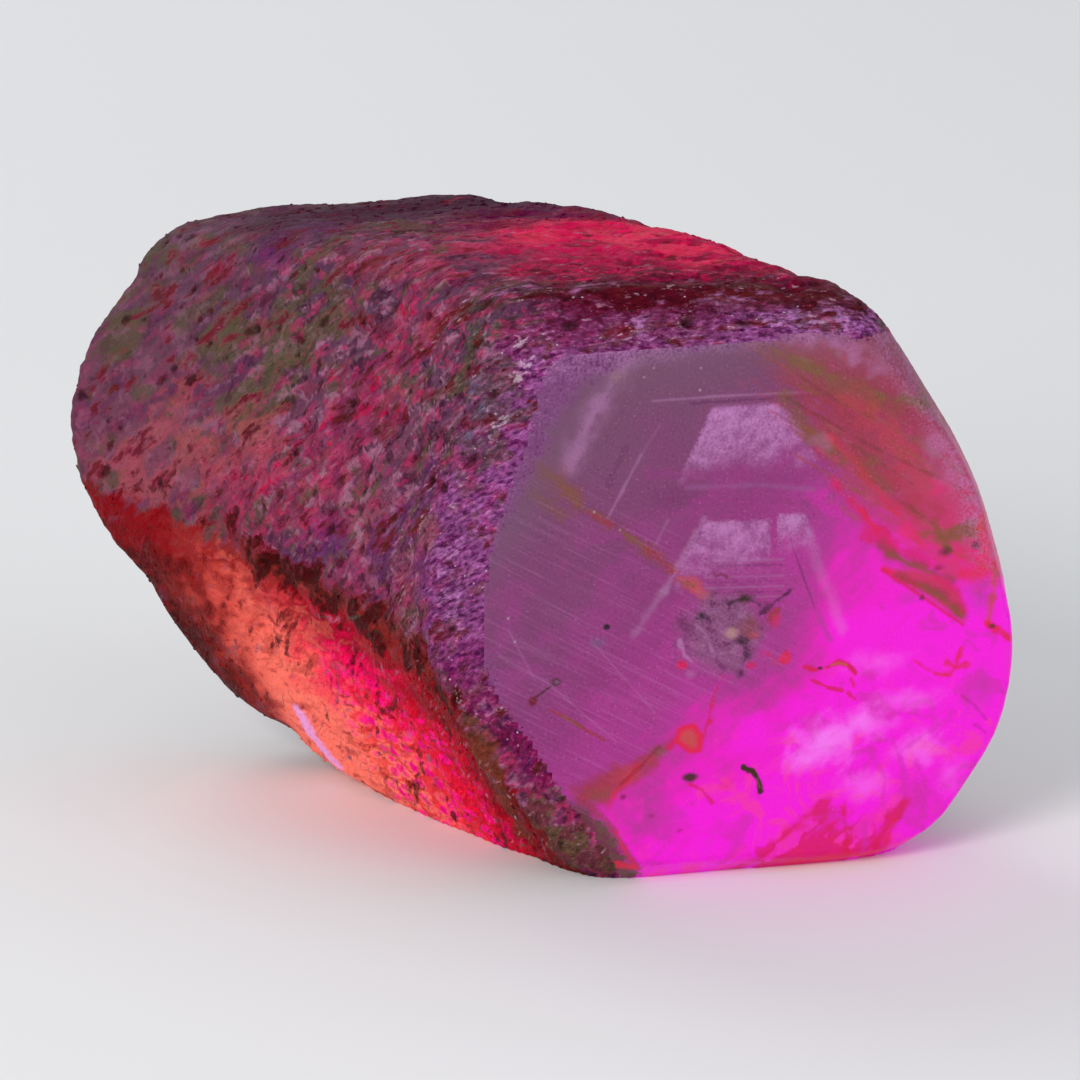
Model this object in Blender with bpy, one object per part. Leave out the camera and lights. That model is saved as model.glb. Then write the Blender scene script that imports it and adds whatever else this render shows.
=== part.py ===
"""Rough trapiche sapphire: one worn, six-sided barrel crystal of corundum with one end ground flat.

The crystal is laid out in millimetres, with the ground window on the plane y = 0 and the barrel behind it.
Seen facing the window, x runs to the right and z runs up from the window's middle. At the end the stone is
moved so that the origin lies at the bottom centre of its box, with +Z up, and written in metres.
"""

import math
import random

import bmesh
import bpy
from mathutils import Vector, noise

NODE = "sapphire"
MM = 0.001

# Where the three stations that the ridges are drawn through lie behind the window.
NEAR, WAIST, FAR = 0.9, 7.5, 13.4

# Each ridge: its (x, z) at the near, waist and far stations, how far its corner is rounded as a share of the
# two sides that meet there, and how wide the rough bevel beside the window is there.
RIDGES = {
    "top_left": ((-5.15, 6.8), (-7.0, 6.55), (-9.75, 5.9), 0.14, 1.7),
    "top_right": ((3.1, 6.3), (0.7, 6.65), (-2.65, 6.3), 0.2, 0.7),
    "right_shoulder": ((5.75, 3.2), (3.2, 3.35), (0.45, 2.95), 0.42, 0.4),
    "right": ((7.55, -2.85), (4.95, -2.75), (2.15, -2.5), 0.42, 0.4),
    "bottom_right": ((4.9, -7.1), (2.35, -7.12), (-0.25, -6.2), 0.3, 0.4),
    "bottom_left": ((-2.85, -7.15), (-5.45, -7.25), (-8.05, -5.85), 0.16, 0.75),
    "left_low": ((-6.25, -2.45), (-8.0, -1.6), (-11.85, -0.2), 0.3, 0.8),
    "left": ((-6.6, 0.2), (-8.75, 1.2), (-12.1, 2.15), 0.4, 0.75),
}
SAMPLES_PER_SIDE = (14, 8, 11, 9, 13, 12, 5, 14)

# The two flats: the ground window, and the prism face that the stone lies on.
WINDOW_PLANE = 0.0
REST_PLANE = -6.88

# Rings along the barrel, and the rounded shoulder of the far end: (y, share of the outline there), and how
# far to the right the shoulder would draw in if it closed.
FIRST_RING, LAST_RING = -0.32, 13.0
RING_STEP = 0.31
FAR_SHOULDER = ((13.3, 0.987), (13.6, 0.958), (13.85, 0.915), (14.03, 0.855), (14.12, 0.78))
FAR_DRAWN_RIGHT = 3.2
FAR_GRID = 0.62

# Weathered skin: the height of each kind of relief, and its size along and round the barrel.
LUMP_HEIGHT, LUMP_SIZE = 0.2, 4.2
GROWTH_HEIGHT, GROWTH_ALONG, GROWTH_ROUND = 0.15, 0.8, 2.6
LEDGE_HEIGHT, LEDGE_PITCH = 0.12, 2.3
TERRACE_HEIGHT, TERRACE_SIZE = 0.2, 3.4

# Etch pits, stretched round the barrel as the growth lines are.
PIT_COUNT, PIT_SEED = 46, 7
PIT_RADIUS = (0.5, 0.9)
PIT_DEPTH = (0.1, 0.26)
PIT_STRETCH = 1.6

# Single dents in the ridges: (x, y, z), radius and depth.
DENTS = (
    ((-7.1, 11.3, -6.3), 1.2, 0.3),
    ((-6.3, 3.9, -3.1), 1.1, 0.25),
    ((-10.6, 12.9, 4.6), 1.1, 0.22),
    ((6.3, 3.2, -3.6), 1.4, 0.3),
    ((2.8, 9.6, 4.0), 1.5, 0.34),
)


def smoothstep(low, high, value):
    t = min(1.0, max(0.0, (value - low) / (high - low)))
    return t * t * (3 - 2 * t)


def through_three(near, waist, far, y):
    """The quadratic through the three stations, read at y."""
    at_near = (y - WAIST) * (y - FAR) / ((NEAR - WAIST) * (NEAR - FAR))
    at_waist = (y - NEAR) * (y - FAR) / ((WAIST - NEAR) * (WAIST - FAR))
    at_far = (y - NEAR) * (y - WAIST) / ((FAR - NEAR) * (FAR - WAIST))
    return at_near * near + at_waist * waist + at_far * far


def corners_at(y):
    """The eight corners of the cross-section at y, as (x, z, bevel width), drawn from the ridges."""
    held = max(y, NEAR)
    corners = []
    for near, waist, far, _, bevel in RIDGES.values():
        x, z = (through_three(near[i], waist[i], far[i], held) for i in (0, 1))
        corners.append(Vector((x, z, bevel)))
    return corners


def outline_at(y):
    """The cross-section at y: straight sides joined by rounded corners, sampled the same way at each y."""
    corners = corners_at(y)
    rounding = [ridge[3] for ridge in RIDGES.values()]
    count = len(corners)

    def round_corner(i, t):
        corner = corners[i]
        start = corner.lerp(corners[i - 1], rounding[i])
        end = corner.lerp(corners[(i + 1) % count], rounding[i])
        return start.lerp(corner, t).lerp(corner.lerp(end, t), t)

    points = []
    for side, samples in enumerate(SAMPLES_PER_SIDE):
        after = (side + 1) % count
        for step in range(samples):
            f = step / samples
            if f < rounding[side]:
                points.append(round_corner(side, 0.5 + 0.5 * f / rounding[side]))
            elif f > 1 - rounding[after]:
                points.append(round_corner(after, 0.5 * (f - 1 + rounding[after]) / rounding[after]))
            else:
                points.append(corners[side].lerp(corners[after], f))
    return points


def middle_of(points):
    return sum(points, Vector((0.0, 0.0, 0.0))) / len(points)


def ring_at(y, share=1.0):
    """One ring of the barrel. In front of the near station it draws in along the rough bevel.

    The shoulder rings draw in towards the right, which blunts the sharp corner of the leaning barrel.
    """
    points = outline_at(y)
    middle = middle_of(points)
    drawn_in = max(0.0, (NEAR - y) / NEAR)
    ring = []
    for point in points:
        arm = Vector((point.x - middle.x, point.y - middle.y))
        length = (arm.length - point.z * drawn_in) * share
        arm.normalize()
        x = middle.x + arm.x * length + FAR_DRAWN_RIGHT * (1 - share)
        ring.append(Vector((x, y, middle.y + arm.y * length)))
    return ring


def ring_places():
    count = round((LAST_RING - FIRST_RING) / RING_STEP)
    along = [(FIRST_RING + (LAST_RING - FIRST_RING) * i / count, 1.0) for i in range(count + 1)]
    return along + list(FAR_SHOULDER)


def slice_far_face(mesh, face):
    """Cuts the flat far face into a grid, so that its growth plates have points to stand on."""
    corners = [v.co.copy() for v in face.verts]
    pieces = [face]
    for direction in (Vector((1, 0, 0)), Vector((0, 0, 1))):
        low = min(c.dot(direction) for c in corners)
        high = max(c.dot(direction) for c in corners)
        cuts = round((high - low) / FAR_GRID)
        for i in range(1, cuts):
            point = direction * (low + (high - low) * i / cuts)
            edges = {e for f in pieces for e in f.edges}
            geometry = list({v for e in edges for v in e.verts}) + list(edges) + pieces
            done = bmesh.ops.bisect_plane(mesh, geom=geometry, dist=0.02, plane_co=point, plane_no=direction)
            pieces = [g for g in done["geom"] if isinstance(g, bmesh.types.BMFace)]


def build_barrel():
    """The smooth barrel: rings bridged by quads, a flat front to be ground off, and a flat far end."""
    mesh = bmesh.new()
    rings = [[mesh.verts.new(p) for p in ring_at(y, share)] for y, share in ring_places()]
    for front, behind in zip(rings, rings[1:]):
        for i, corner in enumerate(front):
            j = (i + 1) % len(front)
            mesh.faces.new((corner, behind[i], behind[j], front[j]))
    mesh.faces.new(rings[0])
    slice_far_face(mesh, mesh.faces.new(reversed(rings[-1])))
    bmesh.ops.recalc_face_normals(mesh, faces=mesh.faces)
    return mesh


def pits_on(mesh):
    """Seeded etch pits, each at a vertex of the skin, as (centre, radius, depth)."""
    pick = random.Random(PIT_SEED)
    skin = [v.co.copy() for v in mesh.verts if v.co.y > NEAR]
    pits = []
    for _ in range(PIT_COUNT):
        size = pick.random() ** 2
        radius = PIT_RADIUS[0] + (PIT_RADIUS[1] - PIT_RADIUS[0]) * size
        depth = PIT_DEPTH[0] + (PIT_DEPTH[1] - PIT_DEPTH[0]) * pick.random()
        pits.append((pick.choice(skin), radius, depth))
    return pits


def pit_depth_at(place, pits):
    """How deep the deepest pit over this place is."""
    deepest = 0.0
    for centre, radius, depth in pits:
        offset = place - centre
        offset.x /= PIT_STRETCH
        offset.z /= PIT_STRETCH
        distance = offset.length / radius
        if distance < 1:
            deepest = max(deepest, depth * (1 - distance * distance) ** 2)
    return deepest


def dent_depth_at(place):
    depth_here = 0.0
    for centre, radius, depth in DENTS:
        distance = (place - Vector(centre)).length / radius
        depth_here += depth * (1 - smoothstep(0.0, 1.0, distance))
    return depth_here


def growth_at(place):
    """Growth lines: uneven ribs that run round the barrel."""
    squeezed = Vector((place.x / GROWTH_ROUND, place.y / GROWTH_ALONG, place.z / GROWTH_ROUND))
    return GROWTH_HEIGHT * noise.noise(squeezed)


def ledge_at(place):
    """Growth ledges round the barrel: a slow rise and a quick fall at each pitch, wandering a little."""
    phase = (place.y + 1.8 * noise.noise(place * 0.3)) / LEDGE_PITCH
    rise = phase - math.floor(phase)
    shown = smoothstep(-0.2, 0.25, noise.noise(place * 0.22 + Vector((5.0, 1.0, 9.0))))
    return LEDGE_HEIGHT * shown * (smoothstep(0.0, 0.8, rise) - smoothstep(0.82, 1.0, rise))


def terrace_at(place):
    """Flat growth plates stacked on the far end, each with a short step at its edge."""
    level = 2 * noise.noise(Vector((place.x, 0.0, place.z)) / TERRACE_SIZE)
    step = math.floor(level)
    return TERRACE_HEIGHT * (step + smoothstep(0.3, 0.7, level - step))


def relief_at(place, normal, pits):
    """Height of the weathered skin over the smooth barrel at this place. The far rim is worn smooth."""
    on_side = 1 - smoothstep(0.15, 0.7, normal.y)
    on_end = smoothstep(0.9, 0.99, normal.y)
    beside_window = smoothstep(NEAR - 0.9, NEAR + 0.5, place.y)
    beside_rest = 0.3 + 0.7 * smoothstep(REST_PLANE + 0.1, REST_PLANE + 1.6, place.z)
    lumps = LUMP_HEIGHT * noise.noise(place / LUMP_SIZE)
    ribs = (growth_at(place) + ledge_at(place) * beside_window) * on_side
    hollows = pit_depth_at(place, pits) + dent_depth_at(place)
    return (lumps * beside_window + ribs + terrace_at(place) * on_end - hollows) * beside_rest


def weather(mesh):
    mesh.normal_update()
    pits = pits_on(mesh)
    skin = [v for v in mesh.verts if v.co.y > FIRST_RING + 0.01]
    moves = [(v, v.normal * relief_at(v.co, v.normal, pits)) for v in skin]
    for vertex, move in moves:
        vertex.co += move


def grind_flat(mesh, point, normal):
    """Takes off what lies beyond a plane, and closes the cut with one flat face."""
    cut = bmesh.ops.bisect_plane(
        mesh,
        geom=mesh.verts[:] + mesh.edges[:] + mesh.faces[:],
        dist=0.0005,
        plane_co=point,
        plane_no=normal,
        clear_outer=True,
    )
    edges = [e for e in cut["geom_cut"] if isinstance(e, bmesh.types.BMEdge) and e.is_boundary]
    bmesh.ops.triangle_fill(mesh, edges=edges, use_beauty=True, use_dissolve=False, normal=normal)


def rest_on_origin(mesh):
    """Moves the stone so that the origin is at the bottom centre of its box."""
    low = Vector(min(v.co[i] for v in mesh.verts) for i in range(3))
    high = Vector(max(v.co[i] for v in mesh.verts) for i in range(3))
    bottom_centre = Vector(((low.x + high.x) / 2, (low.y + high.y) / 2, low.z))
    bmesh.ops.translate(mesh, verts=mesh.verts, vec=-bottom_centre)


def corundum():
    material = bpy.data.materials.new("corundum")
    material.use_nodes = True
    shader = material.node_tree.nodes["Principled BSDF"]
    shader.inputs["Base Color"].default_value = (0.27, 0.06, 0.15, 1.0)
    shader.inputs["Roughness"].default_value = 0.45
    shader.inputs["IOR"].default_value = 1.77
    return material


def build_sapphire():
    mesh = build_barrel()
    weather(mesh)
    grind_flat(mesh, (0, WINDOW_PLANE, 0), (0, -1, 0))
    grind_flat(mesh, (0, 0, REST_PLANE), (0, 0, -1))
    bmesh.ops.triangulate(mesh, faces=mesh.faces)
    rest_on_origin(mesh)
    bmesh.ops.scale(mesh, verts=mesh.verts, vec=(MM, MM, MM))
    bmesh.ops.recalc_face_normals(mesh, faces=mesh.faces)
    data = bpy.data.meshes.new(NODE)
    mesh.to_mesh(data)
    mesh.free()
    data.materials.append(corundum())
    stone = bpy.data.objects.new(NODE, data)
    bpy.context.scene.collection.objects.link(stone)
    data.shade_smooth()
    data.set_sharp_from_angle(angle=math.radians(35))
    return stone


for leftover in list(bpy.data.objects):
    bpy.data.objects.remove(leftover)
build_sapphire()
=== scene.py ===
"""The looks of a rough trapiche sapphire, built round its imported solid.

Places are in millimetres from the middle of the ground window, as the crystal is looked at: x to the
right and z up on the window, and y back along the barrel. The frame's metres come from these by
WINDOW_MIDDLE.
"""

import math
import random

import bmesh
import bpy
import numpy as np
from mathutils import Matrix, Vector, noise
from mathutils.kdtree import KDTree


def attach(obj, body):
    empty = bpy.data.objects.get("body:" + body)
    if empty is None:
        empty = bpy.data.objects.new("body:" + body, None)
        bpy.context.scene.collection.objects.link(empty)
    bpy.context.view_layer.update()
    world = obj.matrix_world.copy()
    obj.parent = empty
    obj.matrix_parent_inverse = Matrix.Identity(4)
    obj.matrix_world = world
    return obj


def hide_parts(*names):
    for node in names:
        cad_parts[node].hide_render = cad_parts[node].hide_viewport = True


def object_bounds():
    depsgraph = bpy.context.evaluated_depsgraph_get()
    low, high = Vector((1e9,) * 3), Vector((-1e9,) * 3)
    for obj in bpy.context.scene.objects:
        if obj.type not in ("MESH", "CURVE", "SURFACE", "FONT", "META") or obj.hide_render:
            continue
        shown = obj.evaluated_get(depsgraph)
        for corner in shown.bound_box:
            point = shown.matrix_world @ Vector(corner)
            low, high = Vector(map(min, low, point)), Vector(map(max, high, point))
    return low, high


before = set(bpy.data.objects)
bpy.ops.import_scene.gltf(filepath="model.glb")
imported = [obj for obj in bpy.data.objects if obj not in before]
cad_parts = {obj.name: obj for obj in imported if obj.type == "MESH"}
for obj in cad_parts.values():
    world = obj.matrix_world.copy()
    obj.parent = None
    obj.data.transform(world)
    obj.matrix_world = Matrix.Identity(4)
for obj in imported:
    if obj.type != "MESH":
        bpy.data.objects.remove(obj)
CAD_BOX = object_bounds()

MM = 0.001

# The solid's box round the window's middle: how far the barrel reaches to the left of it and below it.
LEFT_OF_WINDOW = 11.69
BELOW_WINDOW = 6.88
WINDOW_MIDDLE = Vector((
    CAD_BOX[0][0] / MM + LEFT_OF_WINDOW,
    CAD_BOX[0][1] / MM,
    CAD_BOX[0][2] / MM + BELOW_WINDOW,
))

# The body's mesh. Each smoothing round pulls every place towards its neighbours, and then a little back.
VOXEL = 0.112
SMOOTHING_ROUNDS = 14
SMOOTHING_PULLS = (0.5, -0.52)
FLAT_SNAP = 0.045


def smoothstep(low, high, value):
    """Zero below low, one above high and a smooth rise between, for numpy arrays and for numbers."""
    t = np.clip((value - low) / (high - low), 0.0, 1.0)
    return t * t * (3 - 2 * t)


# How strongly the studio lights the stone, and the veil that its gloss lays over every colour.
STUDIO_LIGHT = 1.3
GLOSS_VEIL = 0.02


def as_seen(red, green, blue):
    """The shader's colour for one that is to look like this on screen, each part from 0 to 255."""
    parts = []
    for part in (red, green, blue):
        share = part / 255
        linear = share / 12.92 if share <= 0.04045 else ((share + 0.055) / 1.055) ** 2.4
        parts.append(max(0.0, (linear - GLOSS_VEIL) / STUDIO_LIGHT))
    return (*parts, 1.0)


# --- Camera ---------------------------------------------------------------------------------------

CAMERA_AZIMUTH = math.radians(-17)
CAMERA_ELEVATION = math.radians(15)
CAMERA_DISTANCE = 180.0
FRAME_WIDTH = 24.0
FRAME_MIDDLE_RIGHT = -4.178
FRAME_MIDDLE_UP = 0.911
SENSOR_WIDTH = 36.0


def place_camera():
    """A long lens, turned to the left of the window and a little above it."""
    right = Vector((math.cos(CAMERA_AZIMUTH), math.sin(CAMERA_AZIMUTH), 0))
    back = Vector((
        math.sin(CAMERA_AZIMUTH) * math.cos(CAMERA_ELEVATION),
        -math.cos(CAMERA_AZIMUTH) * math.cos(CAMERA_ELEVATION),
        math.sin(CAMERA_ELEVATION),
    ))
    up = back.cross(right)
    spot = WINDOW_MIDDLE + back * CAMERA_DISTANCE + right * FRAME_MIDDLE_RIGHT + up * FRAME_MIDDLE_UP
    lens = bpy.data.cameras.new("camera")
    lens.sensor_width = SENSOR_WIDTH
    lens.lens = SENSOR_WIDTH * CAMERA_DISTANCE / FRAME_WIDTH
    lens.clip_start = 0.001
    camera = bpy.data.objects.new("camera", lens)
    camera.matrix_world = Matrix.Translation(spot * MM) @ Matrix((right, up, back)).transposed().to_4x4()
    bpy.context.scene.collection.objects.link(camera)
    bpy.context.scene.camera = camera


# --- The crystal's body ---------------------------------------------------------------------------

# How far the growth lines lean from rings round the barrel.
GROWTH_LEAN = 0.8

# The skin's relief: ridges along the growth lines, scaly plates, a soft grain and etch pits.
RIDGE_HEIGHT, RIDGE_PITCH, RIDGE_LENGTH, RIDGE_SHIFT = 0.06, 0.6, 1.1, 3.7
FINE_RIDGE_HEIGHT, FINE_RIDGE_PITCH, FINE_RIDGE_LENGTH, FINE_RIDGE_SHIFT = 0.035, 0.3, 0.5, 9.1
PLATE_HEIGHT, PLATE_WIDTH, PLATE_LENGTH = 0.05, 0.34, 0.46
PLATE_RIM_STEEPNESS, PLATE_LEAN = 3.0, 0.45
PLATE_LEAN_SEED, PLATE_HEIGHT_SEED = 5.1, 7.3
GRAIN_HEIGHT, GRAIN_SIZE = 0.035, 0.22
BARREL_RIDGE_PITCH, BARREL_RIDGE_LENGTH = 0.45, 2.4
ETCH_PITS, ETCH_SEED = 300, 11
ETCH_WIDTH = (0.09, 0.19)
ETCH_LENGTH = (1.0, 2.2)
ETCH_DEPTH = (0.04, 0.13)
ETCH_DEPTH_SPREAD = (0.7, 1.2)
GROOVE_WIDTH, GROOVE_DEPTH = 0.16, 0.1
HOLE_WIDTH, HOLE_DEPTH = 0.16, 0.18
BEAD_WIDTH, BEAD_HEIGHT = 0.24, 0.08

# By what share the relief is lower on the lower left face, on the top, at the far end and by the window.
LOWER_LEFT_CALM, TOP_CALM, FAR_CALM, BESIDE_WINDOW_CALM = 0.5, 0.35, 0.5, 0.75

# The soft patches that the skin's colours are broken up with, each kind with its own size.
PATCH_SIZES = {
    "broad": 1.0,
    "purple": 1.7,
    "red": 1.1,
    "olive": 1.2,
    "pale": 0.5,
    "shade": 0.42,
    "rose": 0.4,
    "crimson": 0.45,
    "brown": 0.7,
}
PATCH_FLATNESS, PATCH_SHIFT = 0.6, 17.3
PATCH_ROUGHNESS, PATCH_GAP, PATCH_OCTAVES = 0.65, 2.1, 4
BARREL_SWEEP = (0.5, 2.2, 0.5)

# No crystallites grow further to the right than this.
SHARDS_END = 2.6

# The lower left face lies below a fold, whose height climbs this much for each millimetre along the barrel.
FOLD_HEIGHT, FOLD_CLIMB = -1.7, 0.13

# The bevel beside the window is narrower at its foot and at its top.
BEVEL_WIDTH, NARROWER_AT_FOOT, NARROWER_AT_TOP = 1.25, 0.6, 0.4

# Zones of the skin round single places. The number is each place's radius.
PATCH_ZONES = {
    "olive": (1.5, [
        (-7.6, 7.6, 5.7), (-7.4, 6.7, 5.0), (-8.0, 7.6, 4.2), (-8.2, 8.2, 3.4), (-8.6, 8.6, 2.7),
        (-5.2, 8.2, 6.7), (-9.8, 13.0, 5.2), (-10.7, 12.8, 3.7), (-8.9, 9.6, 3.8), (-5.6, 1.0, 4.8),
    ]),
    "salmon": (1.8, [
        (-9.9, 10.5, 1.8), (-9.3, 9.4, 1.4), (-9.8, 10.2, 0.4), (-8.6, 8.1, 1.7), (-9.1, 8.9, 0.6),
        (-8.3, 7.3, 0.6), (-10.6, 11.6, 0.2), (-10.2, 11.9, -1.2),
    ]),
    "violet": (1.5, [
        (-8.2, 6.9, -0.5), (-7.7, 5.4, 0.0), (-7.0, 3.6, 0.2), (-6.7, 1.4, 0.3), (-6.9, 2.4, 1.4),
        (-6.6, 1.8, 2.6), (-7.9, 9.2, 6.3), (-6.8, 9.6, 6.4),
    ]),
    "corner": (1.3, [
        (-5.5, 1.3, 5.8), (-5.6, 0.9, 5.1), (-5.5, 0.6, 4.3), (-5.1, 1.4, 6.3), (-5.6, 0.8, 3.4),
    ]),
    "pale": (0.42, [
        (-4.7, 0.35, 5.7), (-4.6, 0.3, 5.2), (-4.8, 0.3, 4.9), (-5.1, 0.4, 4.0), (-5.3, 0.35, 3.6),
    ]),
    "bright": (0.6, [
        (-6.4, 0.5, 1.0), (-6.4, 0.5, 0.5), (-6.4, 0.45, 0.0), (-6.3, 0.4, -0.5), (1.9, 0.3, 6.0),
        (2.5, 0.25, 5.8), (-2.0, 0.3, 5.9), (-5.6, 0.3, -2.6),
    ]),
    "teal": (0.3, [(-5.5, 0.7, 4.2), (-5.6, 0.9, 4.6), (-5.7, 0.8, 3.6)]),
    "brown foot": (1.1, [
        (-4.3, 0.5, -5.4), (-3.9, 0.4, -5.9), (-3.4, 0.4, -6.3), (-3.0, 0.3, -6.5), (-3.6, 0.9, -6.6),
    ]),
}

# Zones along a path. The numbers are how far from the path each ends, and where it starts to weaken.
PATH_ZONES = {
    "pink": (1.6, 0.1, [
        (-3.4, 5.9, 6.7), (-4.6, 4.7, 6.8), (-5.9, 3.8, 6.0), (-6.3, 3.9, 4.6), (-6.9, 4.9, 3.7),
        (-7.4, 5.6, 2.4), (-7.6, 5.6, 1.4), (-8.2, 7.0, 0.9), (-8.9, 9.0, 0.0),
    ]),
    "fold": (1.1, 0.1, [
        (-9.2, 9.6, -0.7), (-8.5, 8.2, -1.0), (-8.0, 6.9, -1.2), (-7.4, 5.2, -1.3), (-7.0, 4.3, -1.6),
        (-6.6, 3.2, -1.7), (-6.2, 1.8, -1.7), (-5.9, 1.0, -2.4),
    ]),
    "dark foot": (0.7, 0.1, [(-5.7, 0.8, -3.2), (-5.2, 1.1, -4.3), (-4.7, 1.8, -5.3), (-4.1, 2.3, -6.2)]),
    # A painted highlight: a white-pink streak near the lower left face's lower edge.
    "glare": (0.42, 0.05, [(-7.3, 9.4, -5.0), (-7.0, 9.4, -5.6), (-6.5, 9.3, -6.3)]),
    # A painted glow on the top face beside the window.
    "ember": (1.9, 0.4, [
        (-2.4, 6.4, 6.7), (-1.4, 6.7, 6.7), (-0.6, 6.4, 6.6), (0.0, 5.6, 6.6), (0.6, 4.5, 6.6),
    ]),
    "crest": (0.85, 0.1, [
        (-4.8, 1.6, 6.6), (-3.7, 1.2, 6.5), (-2.3, 1.0, 6.4), (-0.5, 0.9, 6.3), (1.4, 0.9, 6.2),
        (3.1, 0.9, 6.0),
    ]),
}

# Grooves, holes and glassy beads in the skin.
GROOVES = [
    [(-8.0, 7.5, -1.5), (-7.7, 7.2, -1.9)],
    [(-7.6, 6.5, -2.0), (-7.2, 5.0, -2.6), (-6.6, 4.2, -3.6)],
    [(-6.4, 2.6, -2.4), (-5.8, 2.2, -3.8), (-5.0, 1.6, -5.2)],
]
DARK_HOLES = [
    (-8.0, 9.4, -3.2), (-7.9, 9.2, -3.4), (-7.8, 8.7, -3.6), (-7.1, 8.3, -4.6), (-7.8, 5.8, -0.6),
    (-7.0, 4.2, -0.7), (-6.8, 2.7, -0.4), (-6.2, 5.5, -4.2), (-4.2, 2.5, -5.9), (-4.0, 2.5, -6.4),
    (-3.8, 2.2, -6.5), (-4.7, 1.4, -5.1), (-7.2, 5.7, 2.8), (-6.7, 4.2, 3.3), (-7.5, 8.0, 5.9),
]
BEADS = [
    (-6.4, 6.5, -4.5), (-6.2, 6.1, -4.7), (-6.0, 6.2, -5.2), (-5.7, 4.7, -4.6), (-5.6, 5.7, -5.4),
    (-5.4, 5.1, -5.4), (-5.2, 5.0, -5.7), (-5.0, 4.5, -6.0), (-5.0, 5.3, -6.4), (-4.8, 4.4, -6.4),
    (-5.6, 6.9, -6.4),
]


def fine_copy_of(node):
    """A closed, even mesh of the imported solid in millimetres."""
    shell = bmesh.new()
    shell.from_mesh(node.data)
    bmesh.ops.scale(shell, vec=(1 / MM,) * 3, verts=shell.verts)
    bmesh.ops.translate(shell, vec=-WINDOW_MIDDLE, verts=shell.verts)
    bmesh.ops.remove_doubles(shell, verts=shell.verts, dist=0.001)
    bmesh.ops.recalc_face_normals(shell, faces=shell.faces)
    data = bpy.data.meshes.new("crystal")
    shell.to_mesh(data)
    shell.free()
    crystal = bpy.data.objects.new("crystal", data)
    bpy.context.scene.collection.objects.link(crystal)
    remesh = crystal.modifiers.new("even mesh", "REMESH")
    remesh.mode = "VOXEL"
    remesh.voxel_size = VOXEL
    flatten(crystal)
    return crystal


def flatten(piece):
    """Turns what the modifiers make into the piece's own plain mesh."""
    graph = bpy.context.evaluated_depsgraph_get()
    evaluated = piece.evaluated_get(graph)
    made = bpy.data.meshes.new_from_object(evaluated, preserve_all_data_layers=True, depsgraph=graph)
    piece.modifiers.clear()
    piece.data = made


def places_of(mesh):
    flat = np.empty(len(mesh.vertices) * 3, np.float32)
    mesh.vertices.foreach_get("co", flat)
    return flat.reshape(-1, 3).astype(float)


def normals_of(mesh):
    flat = np.empty(len(mesh.vertices) * 3, np.float32)
    mesh.vertex_normals.foreach_get("vector", flat)
    return flat.reshape(-1, 3).astype(float)


def put_places(mesh, places):
    mesh.vertices.foreach_set("co", places.astype(np.float32).ravel())
    mesh.update()


def smooth_off_the_flats(mesh, rounds):
    """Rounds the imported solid's facets, and leaves the window and the resting face as flat as they are."""
    places = places_of(mesh)
    ends = np.empty(len(mesh.edges) * 2, np.int64)
    mesh.edges.foreach_get("vertices", ends)
    ends = ends.reshape(-1, 2)
    joined = np.bincount(ends.ravel(), minlength=len(places))[:, None]
    on_window = places[:, 1] < FLAT_SNAP
    on_rest = places[:, 2] < -BELOW_WINDOW + FLAT_SNAP
    loose = ~(on_window | on_rest)
    for pull in SMOOTHING_PULLS * rounds:
        near = np.zeros_like(places)
        np.add.at(near, ends[:, 0], places[ends[:, 1]])
        np.add.at(near, ends[:, 1], places[ends[:, 0]])
        places[loose] += pull * (near / joined - places)[loose]
    places[on_window, 1] = 0.0
    places[on_rest, 2] = -BELOW_WINDOW
    put_places(mesh, places)


def growth_line(places):
    """How far along the barrel a place is, counted across the leaning growth lines."""
    return places[:, 1] + GROWTH_LEAN * places[:, 2]


def growth_ways(normals):
    """The way that the growth lines run along the surface at each place."""
    ways = np.cross(normals, (0.0, 1.0, GROWTH_LEAN))
    return ways / np.maximum(np.linalg.norm(ways, axis=1), 0.001)[:, None]


def in_streaks(places, line, pitch, length, shift):
    """The places squeezed so that noise on them runs in streaks along the growth lines."""
    return np.column_stack((places[:, 0] / length, line / pitch, places[:, 2] / length)) + shift


def soft_noise(spots):
    return np.array([noise.noise(Vector(spot)) for spot in spots])


def ridge_noise(spots):
    """Sharp crests with hollows between, from -1 to 1."""
    return 1 - 3 * np.abs(soft_noise(spots))


def plate_heights(spots):
    """Scaly growth plates: each cell stands at its own height, with a bevelled rim and a lean."""
    heights = np.empty(len(spots))
    for i, spot in enumerate(spots):
        distances, cells = noise.voronoi(Vector(spot))
        rim = min(1.0, (distances[1] - distances[0]) * PLATE_RIM_STEEPNESS)
        lean = noise.cell_vector(cells[0] * PLATE_LEAN_SEED) * 2 - Vector((1, 1, 1))
        own = 0.5 + 0.5 * noise.cell(cells[0] * PLATE_HEIGHT_SEED)
        heights[i] = rim * own + PLATE_LEAN * (Vector(spot) - cells[0]).dot(lean)
    return heights


def from_path(places, points):
    """How far each place is from a path of straight runs through the points."""
    nearest = np.full(len(places), np.inf)
    for start, end in zip(points, points[1:]):
        run = np.array(end) - start
        along = np.clip((places - start) @ run / (run @ run), 0, 1)
        nearest = np.minimum(nearest, np.linalg.norm(places - start - along[:, None] * run, axis=1))
    return nearest


def round_patches(places, centres, radius):
    """One at each centre and zero past the radius."""
    nearest = np.full(len(places), np.inf)
    for centre in centres:
        nearest = np.minimum(nearest, np.linalg.norm(places - centre, axis=1))
    return smoothstep(radius, 0.0, nearest)


def patch_ranks(spots):
    """Soft patches as ranks: at each spot, the share of all spots that are lower than it."""
    kind = (PATCH_ROUGHNESS, PATCH_GAP, PATCH_OCTAVES)
    heights = np.array([noise.fractal(Vector(spot), *kind) for spot in spots])
    return heights.argsort().argsort() / len(heights)


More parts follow.
